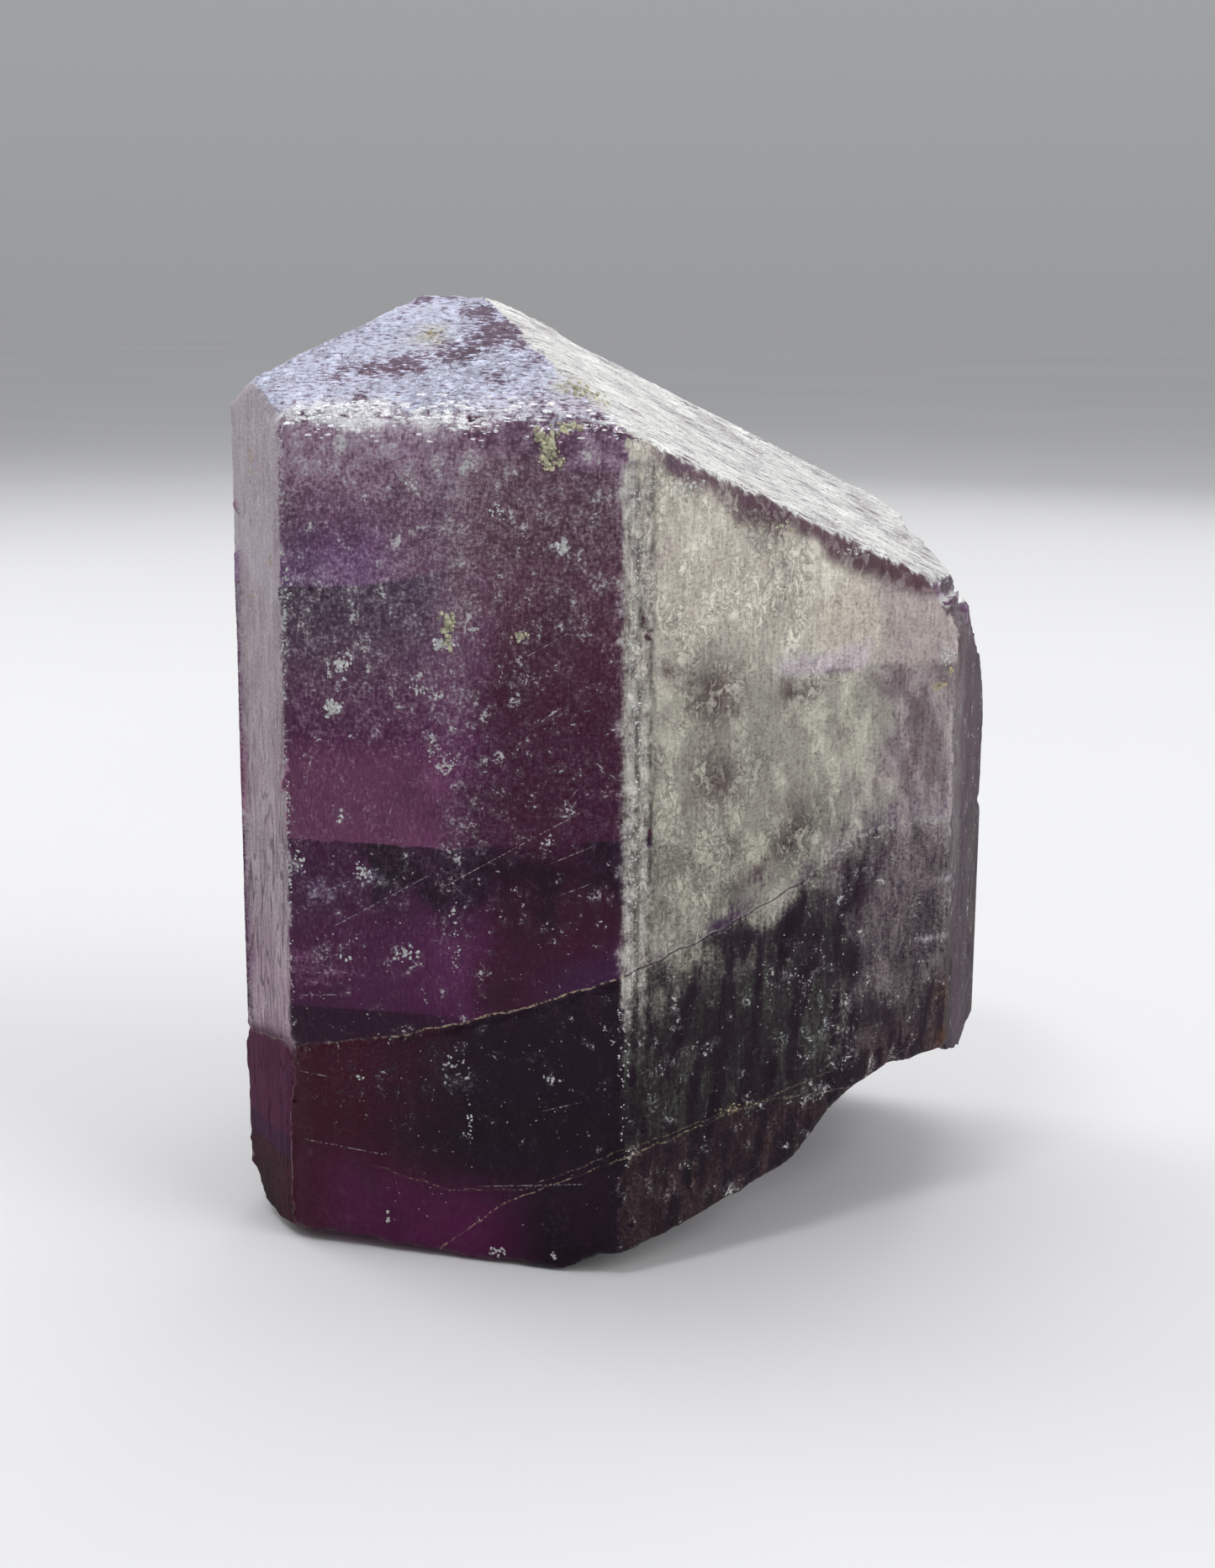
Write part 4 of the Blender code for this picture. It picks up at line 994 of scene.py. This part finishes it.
def lay_growth_map(mesh):
    """A UV map that counts growth lines: U across them, V along them, both in units of a line's size."""
    count = len(mesh.polygons)
    centres = np.empty(count * 3, np.float32)
    normals = np.empty(count * 3, np.float32)
    mesh.polygons.foreach_get("center", centres)
    mesh.polygons.foreach_get("normal", normals)
    on_face = faces_at(centres.reshape(-1, 3).astype(float) / MM, normals.reshape(-1, 3).astype(float))[0]
    corners = np.empty(len(mesh.loops), np.int32)
    mesh.loops.foreach_get("vertex_index", corners)
    totals = np.empty(count, np.int32)
    mesh.polygons.foreach_get("loop_total", totals)
    corner_face = np.repeat(on_face, totals)
    places = mm_points(mesh)[corners]
    laid = np.stack([places[:, 0] + places[:, 1] * 0.7, places[:, 2] + places[:, 1] * 0.3], 1)
    laid = laid / np.array(PATTERNS["broken"][:2])
    for number, (name, plane) in enumerate(face_planes().items()):
        chosen = corner_face == number
        laid[chosen] = local_places(places[chosen], plane)[:, :2] / np.array(PATTERNS[name][:2]) + number * 400.0
    layer = mesh.uv_layers.new(name="growth")
    layer.uv.foreach_set("vector", laid.astype(np.float32).ravel())


class NodeSheet:
    """Short calls that lay out the nodes of one material."""

    def __init__(self, name):
        self.material = bpy.data.materials.new(name)
        self.material.use_nodes = True
        self.nodes = self.material.node_tree.nodes
        self.links = self.material.node_tree.links
        self.shader = self.nodes["Principled BSDF"]
        self.out = self.nodes["Material Output"]

    def add(self, kind, **choices):
        made = self.nodes.new("ShaderNode" + kind)
        for name, value in choices.items():
            setattr(made, name, value)
        return made

    def feed(self, socket, value):
        """Links another node's output to the socket, or sets a plain value."""
        if isinstance(value, bpy.types.NodeSocket):
            self.links.new(value, socket)
        else:
            socket.default_value = value

    def maths(self, operation, first, second=0.5, third=0.5):
        made = self.add("Math", operation=operation)
        for socket, value in zip(made.inputs, (first, second, third)):
            self.feed(socket, value)
        return made.outputs[0]

    def times(self, first, *others):
        """The product of all the values."""
        for other in others:
            first = self.maths("MULTIPLY", first, other)
        return first

    def most(self, first, *others):
        """The largest of the values."""
        for other in others:
            first = self.maths("MAXIMUM", first, other)
        return first

    def plus(self, value, factor, base):
        """The value times the factor, added to the base."""
        return self.maths("MULTIPLY_ADD", value, factor, base)

    def step(self, value, low, high, out_low=0.0, out_high=1.0):
        """Rises smoothly from out_low to out_high as the value goes from low to high."""
        made = self.add("MapRange", interpolation_type="SMOOTHSTEP")
        for socket, number in zip(made.inputs, (value, low, high, out_low, out_high)):
            self.feed(socket, number)
        return made.outputs[0]

    def mix(self, share, first, second, blend_type="MIX"):
        made = self.add("Mix", data_type="RGBA", blend_type=blend_type)
        self.feed(made.inputs[0], share)
        for socket, colour in ((made.inputs[6], first), (made.inputs[7], second)):
            self.feed(socket, colour if isinstance(colour, bpy.types.NodeSocket) else (*colour, 1.0))
        return made.outputs[2]

    def tinted(self, colour, factor):
        """The colour multiplied by a number or by another colour."""
        return self.mix(1.0, colour, factor, "MULTIPLY")

    def stretched(self, coordinates, size):
        """The coordinates scaled so that a pattern of scale 1 has this size along each axis."""
        made = self.add("Mapping")
        self.feed(made.inputs["Vector"], coordinates)
        made.inputs["Scale"].default_value = [1.0 / length for length in size]
        return made.outputs[0]

    def noise(self, coordinates, detail=3.0, roughness=0.55, distortion=0.0):
        made = self.add("TexNoise", noise_dimensions="3D")
        self.feed(made.inputs["Vector"], coordinates)
        made.inputs["Scale"].default_value = 1.0
        made.inputs["Detail"].default_value = detail
        made.inputs["Roughness"].default_value = roughness
        made.inputs["Distortion"].default_value = distortion
        return made.outputs["Fac"]

    def attribute(self, name, output="Vector"):
        return self.add("Attribute", attribute_name=name).outputs[output]

    def parts(self, vector):
        made = self.add("SeparateXYZ")
        self.feed(made.inputs[0], vector)
        return list(made.outputs)

    def millimetres(self):
        """Places on the object in millimetres."""
        return self.stretched(self.add("TexCoord").outputs["Object"], (MM, MM, MM))

    def set_bumps(self, height, distance, strength=1.0):
        """Shades the surface as if it had this relief."""
        made = self.add("Bump")
        made.inputs["Distance"].default_value = distance
        self.feed(made.inputs["Strength"], strength)
        self.feed(made.inputs["Height"], height)
        self.feed(self.shader.inputs["Normal"], made.outputs[0])


def crystal_patterns(sheet):
    """The stored values and the noises that the parts of the crystal's material share."""
    at = SimpleNamespace()
    in_mm = sheet.millimetres()
    at.x, at.z = sheet.parts(in_mm)[::2]
    at.frost, at.flecks, at.lines = sheet.parts(sheet.attribute("covers"))
    at.glitter, etching, at.dull = sheet.parts(sheet.attribute("touches"))
    crease_share, rim_share, at.on_side = sheet.parts(sheet.attribute("marks"))
    at.clouds, at.jitter, terraces = sheet.parts(sheet.attribute("slow"))
    at.on_front, at.near_front = sheet.parts(sheet.attribute("front"))[:2]

    at.streaks = sheet.noise(sheet.add("UVMap", uv_map="growth").outputs["UV"], detail=3.0, roughness=0.6)
    at.grain = sheet.noise(sheet.stretched(in_mm, (0.20, 0.20, 0.15)), detail=2.0, roughness=0.7)
    at.wisps = sheet.noise(sheet.stretched(in_mm, (0.55, 0.55, 0.75)), detail=4.0, roughness=0.72, distortion=0.8)
    at.streak, at.speck, at.wisp = (
        sheet.maths("SUBTRACT", pattern, 0.5) for pattern in (at.streaks, at.grain, at.wisps)
    )
    at.curls = sheet.maths("ABSOLUTE", at.wisp)
    terrace_rims = sheet.step(sheet.maths("PINGPONG", sheet.times(terraces, 3.0), 0.5), 0.16, 0.03)
    creases = sheet.step(at.curls, 0.065, 0.010)
    at.rims = sheet.most(sheet.times(terrace_rims, rim_share), sheet.times(creases, crease_share))
    pits = sheet.times(sheet.step(at.grain, 0.34, 0.27), crease_share, 0.8)
    at.dug = sheet.most(sheet.times(etching, sheet.step(at.wisps, 0.38, 0.58, 0.15, 1.0)), pits)
    curl_share = sheet.step(sheet.plus(at.flecks, 0.8, at.jitter), 0.20, 0.90, 0.0, 0.60)
    at.curl_share = sheet.times(curl_share, sheet.step(at.flecks, 0.02, 0.15))
    return at


def wavering(sheet, over, at):
    """Height over a crack whose line wavers a little."""
    return sheet.plus(at.jitter, CRACK_WAVER, over)


def body_colour(sheet, settings, at):
    """Colour of the crystal under its frost, which changes where healed cracks cross it near the front, and is darker
    below the long crack as painted shade of that crack.
    """
    over_long, over_low = sheet.parts(sheet.attribute("low_cracks"))[:2]
    over_panel, over_violet, over_lens = sheet.parts(sheet.attribute("high_cracks"))
    x, z, near_front = at.x, at.z, at.near_front
    right_half = sheet.step(sheet.plus(at.clouds, 1.6, sheet.maths("ADD", x, at.jitter)), -5.0, -1.6)
    right_half = sheet.times(right_half, near_front)

    # Low colours, used below the long crack: dark as painted shade of the crack, which keeps light from above from
    # reaching the crystal under it.
    to_left = sheet.step(sheet.plus(at.jitter, 1.5, x), -3.0, -11.0)
    low = sheet.mix(to_left, settings.dark_colour, settings.maroon_colour)
    near_foot = sheet.times(
        sheet.step(over_low, 1.4, -1.4), sheet.step(x, 0.5, -4.0), sheet.step(x, -12.5, -9.5, 0.15, 1.0)
    )
    low = sheet.mix(near_foot, low, settings.glow_colour)
    low = sheet.mix(near_front, INSIDE["low behind"], low)

    middle = sheet.mix(sheet.step(z, 15.5, 18.0), settings.low_colour, settings.dark_colour)
    middle = sheet.mix(sheet.step(at.clouds, -0.25, 0.30, 0.35, 1.0), settings.low_colour, middle)
    lens = sheet.times(sheet.step(over_lens, 0.06, -0.06), sheet.step(x, -3.0, -5.5), near_front, 0.75)
    middle = sheet.mix(lens, middle, settings.dark_colour)

    upper = sheet.mix(sheet.step(z, 25.0, 33.0), settings.low_colour, settings.body_colour)
    panel_edge = sheet.step(sheet.plus(at.jitter, 0.5, x), -3.9, -5.4)
    on_panel = sheet.times(sheet.step(over_panel, 5.6, 3.4), panel_edge, near_front)
    upper = sheet.mix(on_panel, upper, settings.panel_colour)
    left_side = sheet.times(sheet.step(x, -3.6, -6.0), near_front)
    under_violet = sheet.times(sheet.step(over_violet, -6.0, -0.3), left_side, 0.75)
    upper = sheet.mix(under_violet, upper, INSIDE["below the violet"])
    glowing = sheet.times(sheet.step(over_violet, 3.4, 0.6), sheet.step(x, -6.0, -9.0, 0.0, 0.8))
    top_left = sheet.mix(glowing, INSIDE["top left"], settings.violet_colour)
    upper = sheet.mix(sheet.times(sheet.step(over_violet, -0.06, 0.06), left_side), upper, top_left)

    colour = sheet.mix(sheet.step(wavering(sheet, over_panel, at), -0.04, 0.04), middle, upper)
    rise = sheet.step(sheet.plus(at.clouds, 6.0, z), 12.0, 36.0)
    colour = sheet.mix(near_front, sheet.mix(rise, settings.low_colour, INSIDE["high behind"]), colour)
    browned = sheet.times(right_half, sheet.step(z, 40.0, 30.0, 0.25, 1.0))
    colour = sheet.mix(browned, colour, sheet.tinted(colour, INSIDE["browner"]))
    top_right = sheet.most(
        sheet.times(sheet.step(z, 38.22, 38.36), sheet.step(x, 0.9, 1.3)),
        sheet.times(sheet.step(z, 38.6, 40.0), sheet.step(x, -3.4, -1.8)),
    )
    colour = sheet.mix(sheet.times(top_right, near_front), colour, INSIDE["top right"])
    rim_glow = sheet.times(sheet.step(over_long, 2.2, 0.2), right_half, sheet.step(x, -1.5, 2.0), 0.8)
    colour = sheet.mix(rim_glow, colour, INSIDE["above the long crack"])
    # Below the long crack the painted shade of the low colours takes over.
    colour = sheet.mix(sheet.step(wavering(sheet, over_long, at), -0.05, 0.05), low, colour)
    colour = sheet.tinted(colour, sheet.plus(at.streak, 1.2, 1.0))
    return sheet.mix(sheet.step(at.clouds, 0.05, 0.8, 0.0, 0.35), colour, INSIDE["dim cloud"])


def crack_line(sheet, over, at, width):
    """1 along a crack and 0 beside it."""
    return sheet.step(sheet.maths("ABSOLUTE", wavering(sheet, over, at)), width, width * 0.35)


def scratch_lines(sheet, at):
    """1 on the fine scratches of the front face."""
    lines = []
    for x_start, z_start, x_end, z_end in SCRATCHES:
        length = math.hypot(x_end - x_start, z_end - z_start)
        lean_x, lean_z = (x_end - x_start) / length, (z_end - z_start) / length
        offset = lean_z * x_start - lean_x * z_start
        away = sheet.maths("ABSOLUTE", sheet.plus(at.z, -lean_x, sheet.plus(at.x, lean_z, -offset)))
        line = sheet.times(
            sheet.step(away, *SCRATCH_WIDTHS),
            sheet.step(at.x, x_start, x_start + SCRATCH_END),
            sheet.step(at.x, x_end, x_end - SCRATCH_END),
        )
        lines.append(line)
    return sheet.times(sheet.most(*lines), at.on_front)


def crack_lines(sheet, settings, at, colour):
    """Adds the fine lines of the cracks: golden on the front, dark and then pale on the front right face."""
    over_long, over_low, over_foot = sheet.parts(sheet.attribute("low_cracks"))
    broken_up = sheet.step(at.grain, 0.40, 0.62, 0.10, 1.0)
    long_ends = sheet.times(sheet.step(at.x, 7.0, 4.5), sheet.step(at.x, -13.0, -4.0, 0.35, 1.0))
    gold = sheet.most(
        sheet.times(crack_line(sheet, over_long, at, 0.085), long_ends),
        sheet.times(crack_line(sheet, over_low, at, 0.06), sheet.step(at.x, -9.5, -7.5, 0.0, 0.5)),
        sheet.times(crack_line(sheet, over_foot, at, 0.07), sheet.step(at.x, 14.0, 9.0, 0.0, 0.7)),
    )
    gold = sheet.times(gold, broken_up)
    colour = sheet.mix(gold, colour, settings.crack_colour)
    pale = sheet.times(crack_line(sheet, over_long, at, 0.22), at.on_side, broken_up, 0.6)
    colour = sheet.mix(pale, colour, INSIDE["pale crack"])
    dark = sheet.times(crack_line(sheet, over_long, at, 0.07), sheet.step(at.x, 11.8, 10.8), at.on_side, 0.8)
    return sheet.mix(dark, colour, INSIDE["dark crack"]), sheet.most(gold, pale)


def frost_film(sheet, at):
    """Share of the frost at each place: broken up by growth lines and grain, and thinner where it is dug."""
    cover = sheet.plus(at.streak, at.lines, at.frost)
    cover = sheet.plus(at.curl_share, 0.12, cover)
    cover = sheet.plus(at.speck, 0.9, cover)
    cover = sheet.plus(at.wisp, 0.5, cover)
    return sheet.times(sheet.step(cover, -0.05, 1.05), sheet.plus(at.dug, -0.25, 1.0))


def film_colour(sheet, at):
    """Colour of the frost: as stored, with fine streaks and grain, darker on rims and where it is dug. Its streaks,
    grain and wisps are those of the bump's heights, so the tone is both uneven and a painted shade of the relief's
    lows, and the rims and dug places are painted shade in hollows.
    """
    # Streaks, grain and wisps of the bump's heights: uneven tone, and painted shade of the relief's lows.
    fibres = sheet.times(at.streak, sheet.step(at.lines, 0.3, 3.0, 0.6, 2.1))
    tone = sheet.maths("ADD", sheet.maths("ADD", at.speck, fibres), 1.0)
    tone = sheet.plus(at.wisp, 0.7, tone)
    # Darker on rims and in dug places: painted shade in these hollows.
    tone = sheet.times(tone, sheet.plus(at.rims, -0.60, 1.0), sheet.plus(at.dug, -0.80, 1.0))
    return sheet.tinted(sheet.attribute("frost_colour", "Color"), tone)


def white_flecks(sheet, at):
    """1 on the white flecks: dense ones, scattered specks, thin curls and the scratches."""
    dense = sheet.step(sheet.plus(at.flecks, 0.28, at.wisps), 0.71, 0.88)
    gathered = sheet.plus(at.wisps, 0.9, sheet.times(at.grain, 0.7))
    gathered = sheet.plus(at.jitter, 0.18, sheet.plus(at.flecks, 0.20, gathered))
    curls = sheet.times(sheet.step(at.curls, 0.040, 0.004), at.curl_share)
    return sheet.most(
        sheet.times(dense, sheet.step(at.grain, 0.36, 0.56, 0.15, 1.0)),
        sheet.times(sheet.step(gathered, 1.00, 1.12), sheet.step(at.flecks, 0.01, 0.10, 0.0, 0.9)),
        sheet.times(curls, sheet.step(at.grain, 0.36, 0.60, 0.10, 1.0)),
        sheet.times(scratch_lines(sheet, at), sheet.step(at.grain, 0.36, 0.62, 0.05, 0.75)),
    )


def crystal_material(settings):
    """Clear purple crystal under frost, growth lines and etching."""
    sheet = NodeSheet("frosted purple scapolite")
    at = crystal_patterns(sheet)
    film, fleck = frost_film(sheet, at), white_flecks(sheet, at)
    colour = sheet.mix(film, body_colour(sheet, settings, at), film_colour(sheet, at))
    colour = sheet.mix(fleck, colour, settings.fleck_colour)
    colour, line = crack_lines(sheet, settings, at, colour)
    solid = sheet.most(film, fleck, line)
    rough = sheet.plus(at.glitter, -0.20, sheet.step(solid, 0.0, 1.0, POLISHED, settings.roughness))
    rough = sheet.plus(at.dull, 0.40, rough)

    shader = sheet.shader
    sheet.feed(shader.inputs["Base Color"], colour)
    sheet.feed(shader.inputs["Roughness"], rough)
    sheet.feed(shader.inputs["Transmission Weight"], sheet.step(solid, 0.0, 1.0, *CLEARNESS))
    shader.inputs["IOR"].default_value = REFRACTION
    shader.inputs["Specular IOR Level"].default_value = 0.15
    shader.inputs["Specular Tint"].default_value = (*INSIDE["reflections"], 1.0)

    grit = sheet.times(at.grain, sheet.step(film, 0.2, 0.9, 0.25, 0.9))
    height = sheet.plus(at.streaks, sheet.step(at.lines, 0.5, 3.0, 0.6, 1.8), grit)
    height = sheet.plus(at.rims, -0.35, height)
    height = sheet.plus(at.wisps, sheet.plus(at.on_side, 1.8, at.glitter), height)
    sheet.set_bumps(height, 0.08 * MM, sheet.step(at.glitter, 0.0, 1.0, 0.6, 1.0))
    inside = sheet.add("VolumeAbsorption")
    inside.inputs["Color"].default_value = (*INSIDE["depth"], 1.0)
    inside.inputs["Density"].default_value = ABSORPTION
    sheet.links.new(inside.outputs[0], sheet.out.inputs["Volume"])
    return sheet.material


def grain_material():
    """Rough pale crumbs, each with its own tint."""
    sheet = NodeSheet("pale mineral crust")
    mottle = sheet.noise(sheet.stretched(sheet.millimetres(), (0.12, 0.12, 0.12)), detail=3.0)
    colour = sheet.tinted(sheet.attribute("tint", "Color"), sheet.step(mottle, 0.3, 0.7, 0.55, 1.1))
    sheet.feed(sheet.shader.inputs["Base Color"], colour)
    sheet.feed(sheet.shader.inputs["Roughness"], sheet.step(mottle, 0.3, 0.7, 0.30, 0.60))
    sheet.set_bumps(mottle, 0.03 * MM)
    return sheet.material


def floor_material(settings):
    """Matt pale floor with a faint unevenness."""
    sheet = NodeSheet("pale studio floor")
    place = sheet.add("TexCoord").outputs["Object"]
    cloud = sheet.noise(sheet.stretched(place, (0.25, 0.25, 0.25)), detail=2.0)
    tint = [min(1.0, part * 1.04) for part in settings.floor_colour]
    colour = sheet.mix(sheet.step(cloud, 0.3, 0.7), settings.floor_colour, tint)
    sheet.feed(sheet.shader.inputs["Base Color"], colour)
    sheet.shader.inputs["Roughness"].default_value = 0.85
    return sheet.material


def add_piece(name, mesh):
    made = bpy.data.objects.new(name, mesh)
    bpy.context.scene.collection.objects.link(made)
    return made


class SCAPOLITE_OT_skin(bpy.types.Operator):
    """Make the crystal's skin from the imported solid"""

    bl_idname = "scapolite.skin"
    bl_label = "Crystal skin"

    def execute(self, context):
        settings = context.scene.scapolite_skin
        mesh = even_copy(settings)
        flatten_steps(mesh)
        carve(mesh, settings.relief)
        store_looks(mesh)
        lay_growth_map(mesh)
        mesh.materials.clear()
        mesh.materials.append(crystal_material(settings))
        for polygon in mesh.polygons:
            polygon.use_smooth = True
        mesh.set_sharp_from_angle(angle=SHARP_ANGLE)
        skin = add_piece("crystal_skin", mesh)
        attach(skin, BODY)
        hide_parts(NODE)
        return {"FINISHED"}


def grain_at(shape, draw, place, normal, size, kind):
    """Adds one angular crumb, sunk a little into the surface."""
    turn = Vector((draw.uniform(-1, 1), draw.uniform(-1, 1), draw.uniform(-1, 1))).normalized()
    spin = Matrix.Rotation(draw.uniform(0.0, math.tau), 4, turn)
    lay = normal.to_track_quat("Z", "Y").to_matrix().to_4x4()
    wide, tall, thick = CRUMBS[kind][1]
    squash = Matrix.Diagonal((wide * draw.uniform(0.75, 1.25), tall * draw.uniform(0.75, 1.25), thick, 1.0))
    where = Matrix.Translation(place - normal * size * 0.15) @ lay @ squash @ spin
    made = bmesh.ops.create_icosphere(shape, subdivisions=1, radius=size, matrix=where)
    middle = Vector(place)
    for vertex in made["verts"]:
        vertex.co = middle + (vertex.co - middle) * draw.uniform(0.50, 1.25)


def crumb_patch(settings, draw, tree, plane, kind, patch):
    """One patch of crumbs, each set on the skin below its place, and their colours."""
    normal, along = plane[::2]
    across = along.cross(normal).normalized()
    *middle, half_width, half_length, count, largest = patch
    colour, shades = CRUMBS[kind][::2]
    low, high = (Vector(corner) for corner in CAD_BOX)
    shape, tints = bmesh.new(), []
    for number in range(count):
        spread = Vector((draw.gauss(0.0, 0.55), draw.gauss(0.0, 0.55)))
        if max(half_width, half_length) > WIDE_PATCH:
            spread = Vector((draw.uniform(-1.0, 1.0), draw.uniform(-1.0, 1.0)))
        start = Vector(middle) + across * spread.x * half_width + along * spread.y * half_length + normal
        hit, hit_normal = tree.ray_cast(start * MM, -normal, 2.2 * MM)[:2]
        size = largest * MM * draw.uniform(0.40, 1.0) * settings.grain_size
        if hit is None or any(hit[i] - size < low[i] or hit[i] + size > high[i] for i in range(3)):
            continue
        grain_at(shape, draw, hit, hit_normal, size, kind)
        # A random shade for each crumb; for the matrix crumbs, its wide range is also painted highlight and recess
        # shade.
        shade = draw.uniform(*shades)
        tints.append([part * shade for part in colour])
    mesh = bpy.data.meshes.new("patch")
    shape.to_mesh(mesh)
    shape.free()
    return mesh, tints


def crust_mesh(settings, skin):
    """All crumbs as one mesh."""
    tree = BVHTree.FromPolygons([v.co for v in skin.vertices], [p.vertices for p in skin.polygons])
    draw = random.Random(settings.seed)
    planes = face_planes()
    whole, tints = bmesh.new(), []
    for face, kind, patches in CRUSTS:
        for patch in patches:
            batch, batch_tints = crumb_patch(settings, draw, tree, planes[face], kind, patch)
            whole.from_mesh(batch)
            bpy.data.meshes.remove(batch)
            tints += batch_tints
    mesh = bpy.data.meshes.new("crust_grains")
    whole.to_mesh(mesh)
    whole.free()
    colours = np.repeat(np.clip(np.array(tints), 0.0, 1.0), len(mesh.vertices) // len(tints), axis=0)
    add_values(mesh, "tint", "FLOAT_COLOR", with_alpha(colours))
    return mesh


class SCAPOLITE_OT_grains(bpy.types.Operator):
    """Make the crust of pale grains on the skin"""

    bl_idname = "scapolite.grains"
    bl_label = "Crust grains"

    def execute(self, context):
        mesh = crust_mesh(context.scene.scapolite_crust, bpy.data.objects["crystal_skin"].data)
        mesh.materials.append(grain_material())
        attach(add_piece("crust_grains", mesh), BODY)
        return {"FINISHED"}


def way_to(azimuth, elevation):
    """The way towards a place this far round to the right and up, seen from the crystal's front."""
    return Vector((
        math.sin(azimuth) * math.cos(elevation), -math.cos(azimuth) * math.cos(elevation), math.sin(elevation)
    ))


def add_lamps():
    """Rectangular soft lights that look at the middle of the crystal."""
    for name, azimuth, elevation, distance, size, power in LAMPS:
        lamp = bpy.data.lights.new(name, "AREA")
        lamp.shape = "RECTANGLE"
        lamp.size, lamp.size_y = size
        lamp.energy = power
        holder = bpy.data.objects.new(name, lamp)
        way = way_to(math.radians(azimuth), math.radians(elevation))
        holder.location = LAMP_AIM + way * distance
        holder.rotation_euler = (-way).to_track_quat("-Z", "Y").to_euler()
        holder.visible_camera = False
        bpy.context.scene.collection.objects.link(holder)


def light_sky(world, settings):
    """A pale surround that brightens evenly from the horizon to straight above."""
    nodes, links = world.node_tree.nodes, world.node_tree.links
    way = nodes.new("ShaderNodeTexCoord")
    parts = nodes.new("ShaderNodeSeparateXYZ")
    rise = nodes.new("ShaderNodeMapRange")
    rise.inputs["From Min"].default_value = -0.02
    rise.inputs["From Max"].default_value = 1.0
    rise.inputs["To Min"].default_value = settings.horizon_light
    rise.inputs["To Max"].default_value = settings.zenith_light
    links.new(way.outputs["Generated"], parts.inputs[0])
    links.new(parts.outputs["Z"], rise.inputs["Value"])
    links.new(rise.outputs[0], nodes["Background"].inputs["Strength"])
    nodes["Background"].inputs["Color"].default_value = (*SKY_COLOUR, 1.0)


def camera_turn():
    """Rotation of the camera, as fitted to the photo."""
    azimuth, elevation, roll = (math.radians(value) for value in CAMERA_TURN)
    back = way_to(azimuth, elevation)
    right = Vector((math.cos(azimuth), math.sin(azimuth), 0.0))
    level = Matrix((right, back.cross(right), back))
    return (Matrix.Rotation(roll, 3, "Z") @ level).transposed()


class SCAPOLITE_OT_studio(bpy.types.Operator):
    """Make the floor, the lights and the camera"""

    bl_idname = "scapolite.studio"
    bl_label = "Studio"

    def execute(self, context):
        settings = context.scene.scapolite_studio
        shape = bmesh.new()
        bmesh.ops.create_circle(shape, cap_ends=True, segments=96, radius=settings.floor_radius)
        mesh = bpy.data.meshes.new("studio_floor")
        shape.to_mesh(mesh)
        shape.free()
        mesh.materials.append(floor_material(settings))
        add_piece("studio_floor", mesh)
        world = bpy.data.worlds.new("studio")
        world.use_nodes = True
        light_sky(world, settings)
        context.scene.world = world
        add_lamps()
        camera = bpy.data.objects.new("camera", bpy.data.cameras.new("camera"))
        camera.location = CAMERA_PLACE * MM
        camera.rotation_euler = camera_turn().to_euler()
        camera.data.sensor_width = 36.0
        camera.data.lens = settings.lens
        camera.data.clip_start = 0.005
        camera.data.clip_end = 10.0
        context.scene.collection.objects.link(camera)
        context.scene.camera = camera
        context.scene.view_settings.view_transform = "Standard"
        return {"FINISHED"}


class SCAPOLITE_PT_looks(bpy.types.Panel):
    """Settings and steps of the crystal's looks"""

    bl_label = "Scapolite crystal"
    bl_idname = "SCAPOLITE_PT_looks"
    bl_space_type = "VIEW_3D"
    bl_region_type = "UI"
    bl_category = "Scapolite"

    def draw(self, context):
        layout = self.layout
        for group in ("skin", "crust", "studio"):
            settings = getattr(context.scene, "scapolite_" + group)
            box = layout.box()
            for name in settings.__annotations__:
                box.prop(settings, name)
            box.operator("scapolite." + {"crust": "grains"}.get(group, group))


CLASSES = (
    SkinSettings, CrustSettings, StudioSettings, SCAPOLITE_OT_skin, SCAPOLITE_OT_grains, SCAPOLITE_OT_studio,
    SCAPOLITE_PT_looks,
)


def register():
    for item in CLASSES:
        bpy.utils.register_class(item)
    bpy.types.Scene.scapolite_skin = PointerProperty(type=SkinSettings)
    bpy.types.Scene.scapolite_crust = PointerProperty(type=CrustSettings)
    bpy.types.Scene.scapolite_studio = PointerProperty(type=StudioSettings)


def unregister():
    del bpy.types.Scene.scapolite_studio
    del bpy.types.Scene.scapolite_crust
    del bpy.types.Scene.scapolite_skin
    for item in reversed(CLASSES):
        bpy.utils.unregister_class(item)


def main():
    register()
    bpy.ops.scapolite.skin()
    bpy.ops.scapolite.grains()
    bpy.ops.scapolite.studio()


if __name__ == "__main__":
    main()
